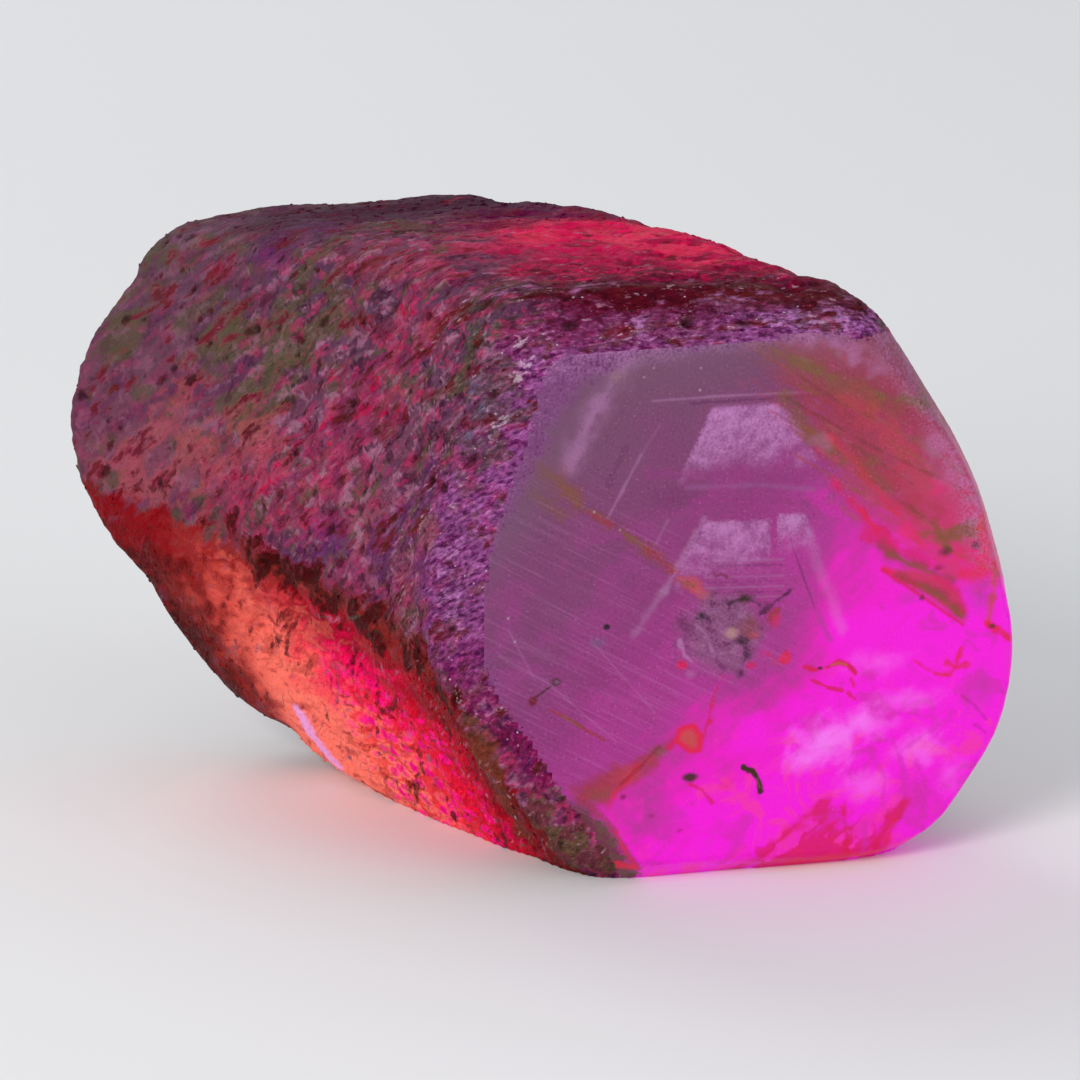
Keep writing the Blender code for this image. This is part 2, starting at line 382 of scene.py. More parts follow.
def etch(places, ways, skin):
    """Small etch pits all over the skin, drawn out along the growth lines. Returns depths and a mask."""
    pick = random.Random(ETCH_SEED)
    tree = KDTree(len(places))
    for i, place in enumerate(places):
        tree.insert(place, i)
    tree.balance()
    candidates = np.flatnonzero(skin > 0.9)
    depths = np.zeros(len(places))
    shown = np.zeros(len(places))
    for _ in range(ETCH_PITS):
        middle = candidates[pick.randrange(len(candidates))]
        size = pick.random() ** 2
        width = ETCH_WIDTH[0] + (ETCH_WIDTH[1] - ETCH_WIDTH[0]) * size
        longer = pick.uniform(*ETCH_LENGTH)
        depth = ETCH_DEPTH[0] + (ETCH_DEPTH[1] - ETCH_DEPTH[0]) * size
        depth *= pick.uniform(*ETCH_DEPTH_SPREAD)
        for place, i, distance in tree.find_range(places[middle], width * longer):
            along = (np.array(place) - places[middle]) @ ways[middle]
            reach = (distance ** 2 - along ** 2 + (along / longer) ** 2) / width ** 2
            share = max(0.0, 1 - reach)
            depths[i] = max(depths[i], depth * share)
            shown[i] = max(shown[i], share)
    return depths, shown


def add_numbers(mesh, name, numbers):
    layer = mesh.attributes.new(name, "FLOAT", "POINT")
    layer.data.foreach_set("value", numbers.astype(np.float32))


def add_ways(mesh, name, ways):
    layer = mesh.attributes.new(name, "FLOAT_VECTOR", "POINT")
    layer.data.foreach_set("vector", ways.astype(np.float32).ravel())


def smooth_sides(places):
    """One beside the window on the right and at its foot, where the crystal is smooth, and zero elsewhere."""
    x, y, z = places.T
    right = smoothstep(3.0, 4.2, x) * smoothstep(6.2, 4.4, z)
    foot = smoothstep(-2.9, -1.6, x) * smoothstep(-5.4, -6.2, z)
    return np.maximum(right, foot) * smoothstep(3.2, 1.0, y)


def roughen(mesh):
    """Gives the skin its ridges, plates, grain, pits and beads, and keeps what the colours need of them."""
    places = places_of(mesh)
    normals = normals_of(mesh)
    line = growth_line(places)
    ways = growth_ways(normals)
    skin = smoothstep(0.03, 0.3, places[:, 1]) * smoothstep(0.02, 0.5, places[:, 2] + BELOW_WINDOW)
    skin = skin * (1 - smooth_sides(places))
    beside_window = 1 - smoothstep(0.5, 1.4, places[:, 1])
    lower_left = smoothstep(0.2, 0.6, -normals[:, 2]) * smoothstep(0.0, 0.4, -normals[:, 0])
    upward = smoothstep(0.6, 0.9, normals[:, 2])
    far_end = smoothstep(7.0, 12.0, places[:, 1])
    rough = 1 - LOWER_LEFT_CALM * lower_left - TOP_CALM * upward - FAR_CALM * far_end

    coarse = in_streaks(places, line, RIDGE_PITCH, RIDGE_LENGTH, RIDGE_SHIFT)
    close = in_streaks(places, line, FINE_RIDGE_PITCH, FINE_RIDGE_LENGTH, FINE_RIDGE_SHIFT)
    scales = in_streaks(places, line, PLATE_WIDTH, PLATE_LENGTH, 0.0)
    ridges = RIDGE_HEIGHT * ridge_noise(coarse)
    ridges += FINE_RIDGE_HEIGHT * ridge_noise(close)
    plates = PLATE_HEIGHT * (plate_heights(scales) - 0.5)
    grain = GRAIN_HEIGHT * soft_noise(places / GRAIN_SIZE)
    barrel = (BARREL_RIDGE_PITCH, BARREL_RIDGE_LENGTH, BARREL_RIDGE_PITCH)
    ridges += lower_left * (RIDGE_HEIGHT * ridge_noise(places / barrel) - ridges)
    depths, pits = etch(places, ways, skin - lower_left)
    relief = (1 - BESIDE_WINDOW_CALM * beside_window) * (ridges + plates) * rough
    relief += grain * (0.5 + 0.5 * beside_window)

    grooves = np.zeros(len(places))
    for groove in GROOVES:
        grooves = np.maximum(grooves, smoothstep(GROOVE_WIDTH, 0.0, from_path(places, groove)))
    holes = round_patches(places, DARK_HOLES, HOLE_WIDTH)
    beads = round_patches(places, BEADS, BEAD_WIDTH)
    height = relief - depths * rough - grooves * GROOVE_DEPTH - holes * HOLE_DEPTH + beads * BEAD_HEIGHT
    put_places(mesh, places + normals * (height * skin)[:, None])

    add_numbers(mesh, "relief", relief / (PLATE_HEIGHT + RIDGE_HEIGHT) * skin)
    add_numbers(mesh, "pit", np.maximum(pits * skin, np.maximum(grooves * 0.5, holes)))
    add_numbers(mesh, "bead", beads)
    add_numbers(mesh, "skin", skin * (1 - beside_window) * (places[:, 0] < SHARDS_END))
    add_ways(mesh, "growth", ways)
    for number, (name, size) in enumerate(PATCH_SIZES.items()):
        spots = in_streaks(places, line, size * PATCH_FLATNESS, size, PATCH_SHIFT * (number + 1))
        add_numbers(mesh, name, patch_ranks(spots))
    add_numbers(mesh, "sweep", patch_ranks(places / BARREL_SWEEP))
    mark_zones(mesh, places, normals)


def mark_zones(mesh, places, normals):
    """Keeps how strongly each zone of the skin shows at each place."""
    x, y, z = places.T
    sides = smooth_sides(places)
    leftward = smoothstep(0.5, -2.0, x + 0.3 * y)
    below = FOLD_HEIGHT + FOLD_CLIMB * y - z
    bevel_width = BEVEL_WIDTH - NARROWER_AT_FOOT * smoothstep(-1.2, -3.2, z)
    bevel_width -= NARROWER_AT_TOP * smoothstep(5.0, 6.0, z)
    above_foot = smoothstep(-5.0, -4.0, z)
    faces_back = smoothstep(0.25, 0.75, normals[:, 1])
    # Below the fold on the left, where the lower left face is painted as glowing with light shining through
    # it.
    glow = smoothstep(-0.4, 0.6, below) * leftward * smoothstep(0.4, 1.2, y) * (1 - faces_back)
    add_numbers(mesh, "glow zone", glow)
    bevel = smoothstep(1.3, 0.5, y / bevel_width) * (1 - sides) * above_foot
    add_numbers(mesh, "bevel zone", bevel)
    sugar = bevel * smoothstep(0.0, 0.05, y) * smoothstep(-4.4, -3.4, z) * (sides < 0.1)
    add_numbers(mesh, "sugar", sugar)
    add_numbers(mesh, "rim", sides)
    for name, (radius, centres) in PATCH_ZONES.items():
        add_numbers(mesh, name + " zone", round_patches(places, centres, radius))
    for name, (end, full, path) in PATH_ZONES.items():
        share = smoothstep(end, full, from_path(places, path))
        if name == "fold":
            share = share * smoothstep(0.4, 1.0, y) * smoothstep(11.0, 8.5, y)
        add_numbers(mesh, name + " zone", share)
    add_numbers(mesh, "far", smoothstep(6.5, 11.5, y))


def in_the_frame(mesh):
    """Takes a mesh from millimetres round the window to the frame's metres."""
    mesh.transform(Matrix.Scale(MM, 4) @ Matrix.Translation(WINDOW_MIDDLE))


# The window's paint covers the flat, and more of the smooth rounded edge on its right and at its foot.
FLAT_EDGE, ROUNDED_EDGE = 0.03, 1.4

# It is painted in squares, so that the nodes of each hold only what reaches it.
COLUMN_EDGES = (-8.0, -3.4, -1.2, 0.9, 3.0, 8.0)
ROW_EDGES = (-8.0, -4.3, -2.2, -0.2, 2.2, 8.0)
SQUARES = [
    (left, right, low, high)
    for low, high in zip(ROW_EDGES, ROW_EDGES[1:])
    for left, right in zip(COLUMN_EDGES, COLUMN_EDGES[1:])
]


def give_materials(mesh, skin, windows):
    """The window's paint goes on the ground flat and what is smooth beside it, and the skin's on the rest."""
    for material in (skin, *windows):
        mesh.materials.append(material)
    centres = np.empty(len(mesh.polygons) * 3, np.float32)
    mesh.polygons.foreach_get("center", centres)
    places = centres.reshape(-1, 3).astype(float)
    limit = FLAT_EDGE + (ROUNDED_EDGE - FLAT_EDGE) * smooth_sides(places)
    column = np.searchsorted(COLUMN_EDGES[1:-1], places[:, 0])
    row = np.searchsorted(ROW_EDGES[1:-1], places[:, 2])
    square = row * (len(COLUMN_EDGES) - 1) + column
    numbers = np.where(places[:, 1] < limit, 1 + square, 0)
    mesh.polygons.foreach_set("material_index", numbers.astype(np.int32))


def make_body(node, skin, windows):
    crystal = fine_copy_of(node)
    smooth_off_the_flats(crystal.data, SMOOTHING_ROUNDS)
    roughen(crystal.data)
    give_materials(crystal.data, skin, windows)
    crystal.data.shade_smooth()
    return crystal


# --- Node trees -----------------------------------------------------------------------------------


class Value:
    """A socket in a node tree. Sums on it add Math nodes to its tree."""

    def __init__(self, nodes, socket):
        self.nodes = nodes
        self.socket = socket

    def __add__(self, other):
        return self.nodes.math("ADD", self, other)

    def __sub__(self, other):
        return self.nodes.math("SUBTRACT", self, other)

    def __rsub__(self, other):
        return self.nodes.math("SUBTRACT", other, self)

    def __mul__(self, other):
        return self.nodes.math("MULTIPLY", self, other)

    __radd__ = __add__
    __rmul__ = __mul__


class Nodes:
    """A node tree that is written as expressions."""

    def __init__(self, tree):
        self.tree = tree
        self.tree.nodes.clear()

    def node(self, kind, settings=None, inputs=None):
        """Adds a node: its settings first, then the value or link of each input."""
        made = self.tree.nodes.new(kind)
        for name, setting in (settings or {}).items():
            setattr(made, name, setting)
        for name, given in (inputs or {}).items():
            if isinstance(given, Value):
                self.tree.links.new(given.socket, made.inputs[name])
            else:
                made.inputs[name].default_value = given
        return made

    def output(self, made, name=0):
        return Value(self, made.outputs[name])

    def math(self, operation, *numbers):
        return self.output(self.node("ShaderNodeMath", {"operation": operation}, dict(enumerate(numbers))))

    def plus_some(self, number, other, share):
        """The number plus this share of the other."""
        return self.math("MULTIPLY_ADD", other, share, number)

    def least(self, first, second):
        return self.math("MINIMUM", first, second)

    def most(self, first, second):
        return self.math("MAXIMUM", first, second)

    def vector(self, operation, first, second=(0, 0, 0), scale=None):
        inputs = {0: first, 1: second} if scale is None else {0: first, "Scale": scale}
        made = self.node("ShaderNodeVectorMath", {"operation": operation}, inputs)
        return self.output(made, "Value" if operation in ("DISTANCE", "LENGTH", "DOT_PRODUCT") else "Vector")

    def parts(self, vector):
        split = self.node("ShaderNodeSeparateXYZ", {}, {0: vector})
        return self.output(split, "X"), self.output(split, "Y"), self.output(split, "Z")

    def join(self, x, y, z):
        return self.output(self.node("ShaderNodeCombineXYZ", {}, {"X": x, "Y": y, "Z": z}))

    def inputs(self, **kinds):
        """Adds the tree's own named inputs and returns a value for each."""
        for name, kind in kinds.items():
            self.tree.interface.new_socket(name, in_out="INPUT", socket_type=kind)
        given = self.node("NodeGroupInput")
        return [self.output(given, name) for name in kinds]

    def result(self, name, kind, value):
        """Gives the tree its named output."""
        self.tree.interface.new_socket(name, in_out="OUTPUT", socket_type=kind)
        self.node("NodeGroupOutput", {}, {name: value})
        return self.tree


def away_from_run():
    """A group that measures how far a place is from a straight run."""
    nodes = Nodes(bpy.data.node_groups.new("away from a run", "ShaderNodeTree"))
    place, start, run, rate = nodes.inputs(
        Place="NodeSocketVector",
        Start="NodeSocketVector",
        Run="NodeSocketVector",
        Rate="NodeSocketVector",
    )
    from_start = nodes.vector("SUBTRACT", place, start)
    along = nodes.vector("DOT_PRODUCT", from_start, rate)
    held = nodes.output(nodes.node("ShaderNodeClamp", {}, {"Value": along}))
    foot = nodes.vector("SCALE", run, scale=held)
    return nodes.result("Away", "NodeSocketFloat", nodes.vector("DISTANCE", from_start, foot))


def away_from_middle():
    """A group that measures how far a place is from the middle of a spot, counted in the spot's radii."""
    nodes = Nodes(bpy.data.node_groups.new("away from a middle", "ShaderNodeTree"))
    place, middle, rate = nodes.inputs(
        Place="NodeSocketVector",
        Middle="NodeSocketVector",
        Rate="NodeSocketVector",
    )
    offset = nodes.vector("MULTIPLY", nodes.vector("SUBTRACT", place, middle), rate)
    return nodes.result("Away", "NodeSocketFloat", nodes.vector("LENGTH", offset))


AWAY_FROM_RUN = away_from_run()
AWAY_FROM_MIDDLE = away_from_middle()


class Brushes(Nodes):
    """A shader's node tree, with the few moves that the stone's finishes are painted with."""

    def place_in_mm(self):
        """The place in millimetres from the middle of the window."""
        coordinates = self.node("ShaderNodeTexCoord")
        made = self.node(
            "ShaderNodeVectorMath",
            {"operation": "MULTIPLY_ADD"},
            {0: self.output(coordinates, "Object"), 1: (1 / MM,) * 3, 2: tuple(-WINDOW_MIDDLE)},
        )
        return self.output(made)

    def rise(self, number, low, high, top=1.0):
        """Zero below low, the top above high and a smooth rise between. With low over high it falls."""
        made = self.node(
            "ShaderNodeMapRange",
            {"interpolation_type": "SMOOTHSTEP"},
            {"Value": number, "From Min": low, "From Max": high, "To Min": 0.0, "To Max": top},
        )
        return self.output(made)

    def mix(self, first, second, share, blend="MIX"):
        """The first colour with this share of the second laid over it."""
        made = self.node(
            "ShaderNodeMix",
            {"data_type": "RGBA", "blend_type": blend},
            {0: share, 6: first, 7: second},
        )
        return self.output(made, 2)

    def ramp(self, number, stops):
        """A colour that runs through the stops, each a number and its colour."""
        first, last = stops[0][0], stops[-1][0]
        made = self.node("ShaderNodeValToRGB", {}, {0: (number - first) * (1 / (last - first))})
        band = made.color_ramp
        for _ in stops[2:]:
            band.elements.new(0.5)
        for element, (stop, colour) in zip(band.elements, stops):
            element.position = (stop - first) / (last - first)
            element.color = colour
        return self.output(made)

    def stretched(self, place, size, shift=0.0):
        """The place counted in steps of this size in millimetres, or of this size on each axis."""
        sizes = size if isinstance(size, tuple) else (size,) * 3
        made = self.node(
            "ShaderNodeVectorMath",
            {"operation": "MULTIPLY_ADD"},
            {0: place, 1: tuple(1 / s for s in sizes), 2: (shift, shift * 0.7, shift * 1.3)},
        )
        return self.output(made)

    def noise(self, place, size, detail=2.0, roughness=0.5, distortion=0.0, shift=0.0):
        """Soft noise from 0 to 1 whose lumps have this size."""
        made = self.node(
            "ShaderNodeTexNoise",
            {},
            {
                "Vector": self.stretched(place, size, shift),
                "Scale": 1.0,
                "Detail": detail,
                "Roughness": roughness,
                "Distortion": distortion,
            },
        )
        return self.output(made)

    def crystals(self, place, size, shift=0.0):
        """Grains of this size: the distance to each one's middle, and its own number from 0 to 1."""
        stretched = self.stretched(place, size, shift)
        made = self.node("ShaderNodeTexVoronoi", {}, {"Vector": stretched, "Scale": 1.0})
        return self.output(made, "Distance"), self.parts(self.output(made, "Color"))[0]

    def attribute(self, name):
        return self.output(self.node("ShaderNodeAttribute", {"attribute_name": name}), "Fac")

    def to_path(self, place, points):
        """How far this place is from a path of straight runs through the points."""
        nearest = None
        for start, end in zip(points, points[1:]):
            run = Vector(end) - Vector(start)
            rate = run / run.length_squared
            measured = self.node(
                "ShaderNodeGroup",
                {"node_tree": AWAY_FROM_RUN},
                {"Place": place, "Start": start, "Run": run, "Rate": rate},
            )
            distance = self.output(measured)
            nearest = distance if nearest is None else self.least(nearest, distance)
        return nearest

    def to_middle(self, place, middle, radii):
        """How far this place is from the middle of a spot, counted in its radii to the right and upwards."""
        measured = self.node(
            "ShaderNodeGroup",
            {"node_tree": AWAY_FROM_MIDDLE},
            {
                "Place": place,
                "Middle": (middle[0], 0.0, middle[1]),
                "Rate": (1 / radii[0], 0.0, 1 / radii[1]),
            },
        )
        return self.output(measured)


class Paint(Brushes):
    """One material's own node tree."""

    def __init__(self, name):
        self.material = bpy.data.materials.new(name)
        self.material.use_nodes = True
        super().__init__(self.material.node_tree)

    def finish(self, colour, lit, roughness, height, subsurface, gloss):
        """Ends the tree in the stone's shader. Where it is painted as glowing with light shining through it,
        emission replaces the base.
        """
        bump = self.node("ShaderNodeBump", {}, {"Strength": 1.0, "Distance": MM, "Height": height})
        shader = self.node(
            "ShaderNodeBsdfPrincipled",
            {},
            {
                "Base Color": self.mix(colour, BLACK, lit * (GLOW_STRENGTH / STUDIO_LIGHT)),
                "Roughness": roughness,
                "IOR": CORUNDUM_IOR,
                "Specular IOR Level": gloss,
                "Normal": self.output(bump),
                "Subsurface Weight": subsurface,
                "Subsurface Radius": SUBSURFACE_RADIUS,
                "Subsurface Scale": SUBSURFACE_SCALE,
                "Emission Color": self.mix(BLACK, colour, lit),
                "Emission Strength": GLOW_STRENGTH,
            },
        )
        end = self.node("ShaderNodeOutputMaterial")
        self.tree.links.new(shader.outputs[0], end.inputs[0])
        self.material.cycles.emission_sampling = "NONE"
        return self.material


# --- Colours --------------------------------------------------------------------------------------

CORUNDUM_IOR = 1.77
WINDOW_GLOSS, SKIN_GLOSS = 0.14, 0.03
WINDOW_DEPTH, SKIN_DEPTH = 0.1, 0.0
SUBSURFACE_RADIUS, SUBSURFACE_SCALE = (1.0, 0.25, 0.6), 0.00025
# How strongly the painted glow shines: emission that stands in for light shining through the stone.
GLOW_STRENGTH = 0.5

BLACK = (0.0, 0.0, 0.0, 1.0)

# The window's, from the dull upper left to the glow on the lower right.
WINDOW_DULL = as_seen(124, 80, 110)
WINDOW_MAUVE = as_seen(136, 72, 118)
WINDOW_PLUM = as_seen(154, 64, 128)
WINDOW_ORCHID = as_seen(176, 66, 146)
PINK_MAUVE = as_seen(186, 62, 154)
ROSE = as_seen(216, 52, 172)
HOT_PINK = as_seen(246, 40, 204)
HOT_MAGENTA = as_seen(254, 12, 226)
WARM_PINK = as_seen(252, 62, 176)
PINK_WHITE = as_seen(255, 130, 250)
WINDOW_PALE = as_seen(176, 122, 166)
WINDOW_LIGHT = as_seen(206, 140, 200)
WINDOW_DEEP = as_seen(104, 44, 92)
CREAM = as_seen(190, 146, 138)
SPECK_WHITE = as_seen(240, 220, 236)
TILE_MAUVE = as_seen(158, 92, 148)
FROST_LILAC = as_seen(196, 132, 188)
HAZE = as_seen(120, 92, 112)

# What grew into it.
CORAL = as_seen(206, 84, 88)
ORANGE_RED = as_seen(232, 44, 72)
CRIMSON = as_seen(222, 8, 92)
DARK_CRIMSON = as_seen(120, 10, 52)
OLIVE = as_seen(134, 88, 62)
GREEN_OLIVE = as_seen(128, 100, 66)
DARK_OLIVE = as_seen(72, 52, 40)
RUST = as_seen(162, 62, 80)
RUST_MAUVE = as_seen(142, 76, 82)
GREY_PURPLE = as_seen(136, 90, 124)
CORE_DARK = as_seen(84, 42, 74)
CORE_PALE = as_seen(180, 134, 170)
CORAL_RED = as_seen(206, 70, 88)
INK = as_seen(40, 18, 32)
TEAL = as_seen(108, 104, 132)
FAN_PLUM = as_seen(150, 78, 96)
FAN_ROSE = as_seen(176, 72, 96)
FAN_RED = as_seen(206, 60, 98)
FAN_PINK = as_seen(232, 52, 124)
RIM_PINK = as_seen(226, 78, 150)
RIM_LILAC = as_seen(236, 84, 196)
PATCH_BROWN = as_seen(112, 62, 70)
PATCH_OLIVE = as_seen(104, 80, 66)

# The skin's.
SKIN_MAUVE = as_seen(116, 72, 90)
SKIN_FAR = as_seen(104, 72, 84)
SKIN_PURPLE = as_seen(92, 56, 84)
SKIN_OLIVE = as_seen(92, 84, 66)
SKIN_RED = as_seen(152, 54, 72)
SKIN_SALMON = as_seen(176, 84, 92)
SKIN_ROSE = as_seen(172, 58, 98)
SKIN_CRIMSON = as_seen(180, 10, 76)
SKIN_DARK = as_seen(54, 26, 38)
SKIN_SHADE = as_seen(66, 34, 54)
PIT_RED = as_seen(84, 14, 30)
SKIN_PALE = as_seen(170, 114, 142)
SKIN_WHITE = as_seen(226, 198, 214)
CORNER_GREEN = as_seen(88, 78, 72)
TEAL_GREEN = as_seen(52, 84, 92)
BEVEL_PURPLE = as_seen(138, 78, 132)
VIOLET = as_seen(104, 54, 104)
BEVEL_DEEP = as_seen(98, 42, 92)
BEVEL_MAGENTA = as_seen(124, 10, 80)
BEVEL_LIGHT = as_seen(176, 122, 176)
BEVEL_ROSE = as_seen(152, 62, 116)
TOP_DARK = as_seen(72, 34, 56)
TOP_BROWN = as_seen(112, 40, 50)
EMBER_ORANGE = as_seen(222, 66, 92)
EMBER_PINK = as_seen(236, 40, 92)
TOP_RED = as_seen(190, 6, 84)
CREST_DARK = as_seen(74, 14, 34)
CREST_OLIVE = as_seen(104, 52, 48)

# The lower left face's, and its colour from the window backwards by millimetres along the barrel: mostly a
# painted glow of light shining through the face, dark red by the window, crimson and coral where it is
# brightest, and brown where it dims at the far end.
FOLD_DARK = as_seen(56, 0, 28)
FOLD_RED = as_seen(140, 4, 44)
EDGE_CORAL = as_seen(255, 124, 108)
BEAD_PINK = as_seen(255, 4, 136)
BEAD_ORANGE = as_seen(226, 40, 56)
# The painted highlight's colour, white-pink.
PAINTED_HIGHLIGHT_PINK = as_seen(255, 178, 246)
LINE_OLIVE = as_seen(112, 70, 56)
LOWER_FACE = [
    (0.8, as_seen(112, 30, 30)),
    (2.0, as_seen(148, 8, 48)),
    (3.4, as_seen(212, 14, 62)),
    (5.0, as_seen(240, 6, 92)),
    (6.6, as_seen(250, 26, 96)),
    (8.0, as_seen(250, 86, 92)),
    (9.4, as_seen(252, 118, 104)),
    (10.2, as_seen(226, 92, 82)),
    (11.3, as_seen(150, 50, 48)),
    (12.6, as_seen(94, 32, 34)),
    (13.8, as_seen(68, 26, 30)),
]

# The top face's colour from the window backwards, its bright red middle a painted glow of light shining
# through it.
TOP_FACE = [
    (0.5, as_seen(94, 34, 54)),
    (1.6, as_seen(102, 28, 58)),
    (2.6, as_seen(128, 12, 66)),
    (3.6, as_seen(158, 10, 70)),
    (4.5, as_seen(170, 26, 74)),
    (5.3, as_seen(198, 38, 84)),
    (6.5, as_seen(188, 44, 82)),
    (7.6, as_seen(134, 40, 70)),
    (9.0, as_seen(104, 40, 74)),
    (12.0, as_seen(72, 34, 60)),
]

# The skin's ground colour by height.
SKIN_GROUND = [
    (-1.5, as_seen(132, 60, 98)),
    (0.2, as_seen(150, 80, 102)),
    (1.6, as_seen(128, 76, 98)),
    (3.2, as_seen(110, 70, 92)),
    (5.5, as_seen(96, 68, 90)),
]

# The window's ground by how far a place is past the middle of the change from mauve to magenta, the magenta
# side partly the stone's own colour and partly a painted glow of light shining through.
WINDOW_GROUND = [
    (-3.2, WINDOW_MAUVE),
    (-1.6, WINDOW_PLUM),
    (-0.7, WINDOW_ORCHID),
    (0.0, PINK_MAUVE),
    (0.7, ROSE),
    (1.5, HOT_PINK),
    (2.6, HOT_MAGENTA),
]

# The orange fan's colour by height on the window.
FAN = [
    (-0.8, FAN_PINK),
    (0.6, FAN_RED),
    (2.2, FAN_ROSE),
    (3.8, RUST),
    (5.4, FAN_PLUM),
]

# --- Layers of paint ------------------------------------------------------------------------------


# How far a ragged side may stray, in shares of its raggedness, and how far a face reaches past its square.
RAGGED_REACH, GRAINY_REACH, SQUARE_MARGIN = 1.1, 0.3, 0.12


def as_place(spot):
    """A place on the window is given by x and z alone."""
    return spot if len(spot) == 3 else (spot[0], 0.0, spot[1])


class Canvas:
    """A colour built up in washes, strokes, spots and flat-sided panels laid over each other."""

    def __init__(self, paint, colour, square=None, **shared):
        self.paint = paint
        self.colour = colour
        self.square = square
        self.shared = shared
        self.place = shared["place"]
        self.ragged = shared["ragged"]
        self.grit = shared["grit"]

    def layer(self, name, strokes):
        """Lays what the strokes paint over the colour, in a group of its own to keep node trees short."""
        group = Brushes(bpy.data.node_groups.new(name, "ShaderNodeTree"))
        kinds = {key: "NodeSocketVector" if key == "place" else "NodeSocketFloat" for key in self.shared}
        colour, *values = group.inputs(colour="NodeSocketColor", **kinds)
        inner = Canvas(group, colour, self.square, **dict(zip(self.shared, values)))
        strokes(inner)
        if inner.colour is colour:
            bpy.data.node_groups.remove(group.tree)
            return
        group.result("colour", "NodeSocketColor", inner.colour)
        given = {"colour": self.colour, **self.shared}
        laid = self.paint.node("ShaderNodeGroup", {"node_tree": group.tree}, given)
        self.colour = self.paint.output(laid)

    def reaches(self, points, margin):
        """False if what is this far round the points misses the canvas's square of the window."""
        if self.square is None:
            return True
        left, right, low, high = self.square
        beside = max(x for x, z in points) + margin < left or min(x for x, z in points) - margin > right
        above = max(z for x, z in points) + margin < low or min(z for x, z in points) - margin > high
        return not (beside or above)

    def wash(self, colour, share):
        self.colour = self.paint.mix(self.colour, colour, share)

    def uneven(self, distance, ragged, grainy):
        """A distance that strays in waves and, if it is to look grainy, in fine specks."""
        distance = self.paint.plus_some(distance, self.ragged, ragged)
        return self.paint.plus_some(distance, self.grit, grainy) if grainy else distance

    def stroke(self, points, width, colour, amount=1.0, soft=1.0, ragged=0.5, grainy=0.0):
        """A line through the points, of this width and with soft, ragged sides."""
        stray = RAGGED_REACH * ragged + GRAINY_REACH * grainy
        if not self.reaches(points, width * (0.5 + stray) + SQUARE_MARGIN):
            return
        path = self.paint.to_path(self.place, [as_place(point) for point in points])
        distance = self.uneven(path, ragged * width, grainy * width)
        self.wash(colour, self.paint.rise(distance, width / 2, width / 2 * (1 - soft), amount))

    def spot(self, centre, radius, colour, amount=1.0, soft=1.0, ragged=0.5, grainy=0.0):
        """A patch round the centre. Its radius may differ to the right and upwards."""
        radii = radius if isinstance(radius, tuple) else (radius, radius)
        stray = RAGGED_REACH * ragged + GRAINY_REACH * grainy
        if not self.reaches([centre], max(radii) * (1 + stray) + SQUARE_MARGIN):
            return
        distance = self.uneven(self.paint.to_middle(self.place, centre, radii), ragged, grainy)
        self.wash(colour, self.paint.rise(distance, 1.0, 1.0 - soft, amount))

    def strokes(self, *rows, **edge):
        """Lines whose edges are alike. Each row holds the points, the width, the colour and the amount."""
        for row in rows:
            self.stroke(*row, **edge)

    def spots(self, *rows, **edge):
        """Patches whose edges are alike. Each row holds the centre, the radius, the colour and the amount."""
        for row in rows:
            self.spot(*row, **edge)

    def inside(self, corners):
        """How far inside a flat-sided patch a place is. The corners go round clockwise."""
        depth = None
        for (x, z), (next_x, next_z) in zip(corners, corners[1:] + corners[:1]):
            inward = Vector((next_z - z, 0.0, x - next_x)).normalized()
            edge = self.paint.vector("DOT_PRODUCT", self.place, tuple(inward)) - (x * inward.x + z * inward.z)
            depth = edge if depth is None else self.paint.least(depth, edge)
        return depth

    def panel(self, corners, colour, amount=1.0, soft=0.1, ragged=0.1, grainy=0.0):
        """A flat-sided patch with no corner that points inwards."""
        if not self.reaches(corners, RAGGED_REACH * ragged + GRAINY_REACH * grainy + SQUARE_MARGIN):
            return
        depth = self.uneven(self.inside(corners), ragged, grainy)
        self.wash(colour, self.paint.rise(depth, 0.0, soft, amount))


# --- The rough skin -------------------------------------------------------------------------------


# The sizes of the skin's noises and grains, in millimetres to the right, along the barrel and upwards.
STREAK_SIZE, FINE_GRAIN_SIZE, OWN_GRAIN_SIZE = (0.5, 0.22, 0.5), (0.16, 0.11, 0.16), (0.17, 0.1, 0.17)
LINE_SIZE, BEADED_SIZE = (0.16, 1.1, 0.16), (0.3, 0.5, 0.3)
SKIN_BUMP = 0.08


class Coat(Canvas):
    """The skin's colour, with the noises and grains that its layers share."""

    def __init__(self, paint):
        place = paint.place_in_mm()
        self.x, self.y, self.z = paint.parts(place)
        self.growth = paint.join(self.x, self.y + self.z * GROWTH_LEAN, self.z)
        self.far = paint.attribute("far")
        self.relief = paint.attribute("relief")
        self.broad = paint.attribute("broad") - 0.5
        self.streak = paint.noise(self.growth, STREAK_SIZE, detail=3.0, roughness=0.66, shift=5.0)
        self.fine = paint.noise(self.growth, FINE_GRAIN_SIZE, detail=2.0, roughness=0.6, shift=29.0)
        _, self.own = paint.crystals(self.growth, OWN_GRAIN_SIZE)
        super().__init__(paint, SKIN_MAUVE, place=place, ragged=self.broad, grit=self.fine - 0.5)

    def patches(self, name, low=0.6, high=0.9):
        """Soft patches of one kind: the lower the numbers, the more of the skin they cover."""
        return self.paint.rise(self.paint.attribute(name) + (self.fine - 0.5) * 0.3, low, high)

    def zone(self, name, low=0.3, high=0.8, patchy=0.6, streaked=1.0):
        """Where a zone of the skin shows, its edge broken up along the growth lines."""
        edge = self.broad * patchy + (self.streak - 0.5) * streaked
        return self.paint.rise(self.paint.attribute(name + " zone") + edge, low, high)


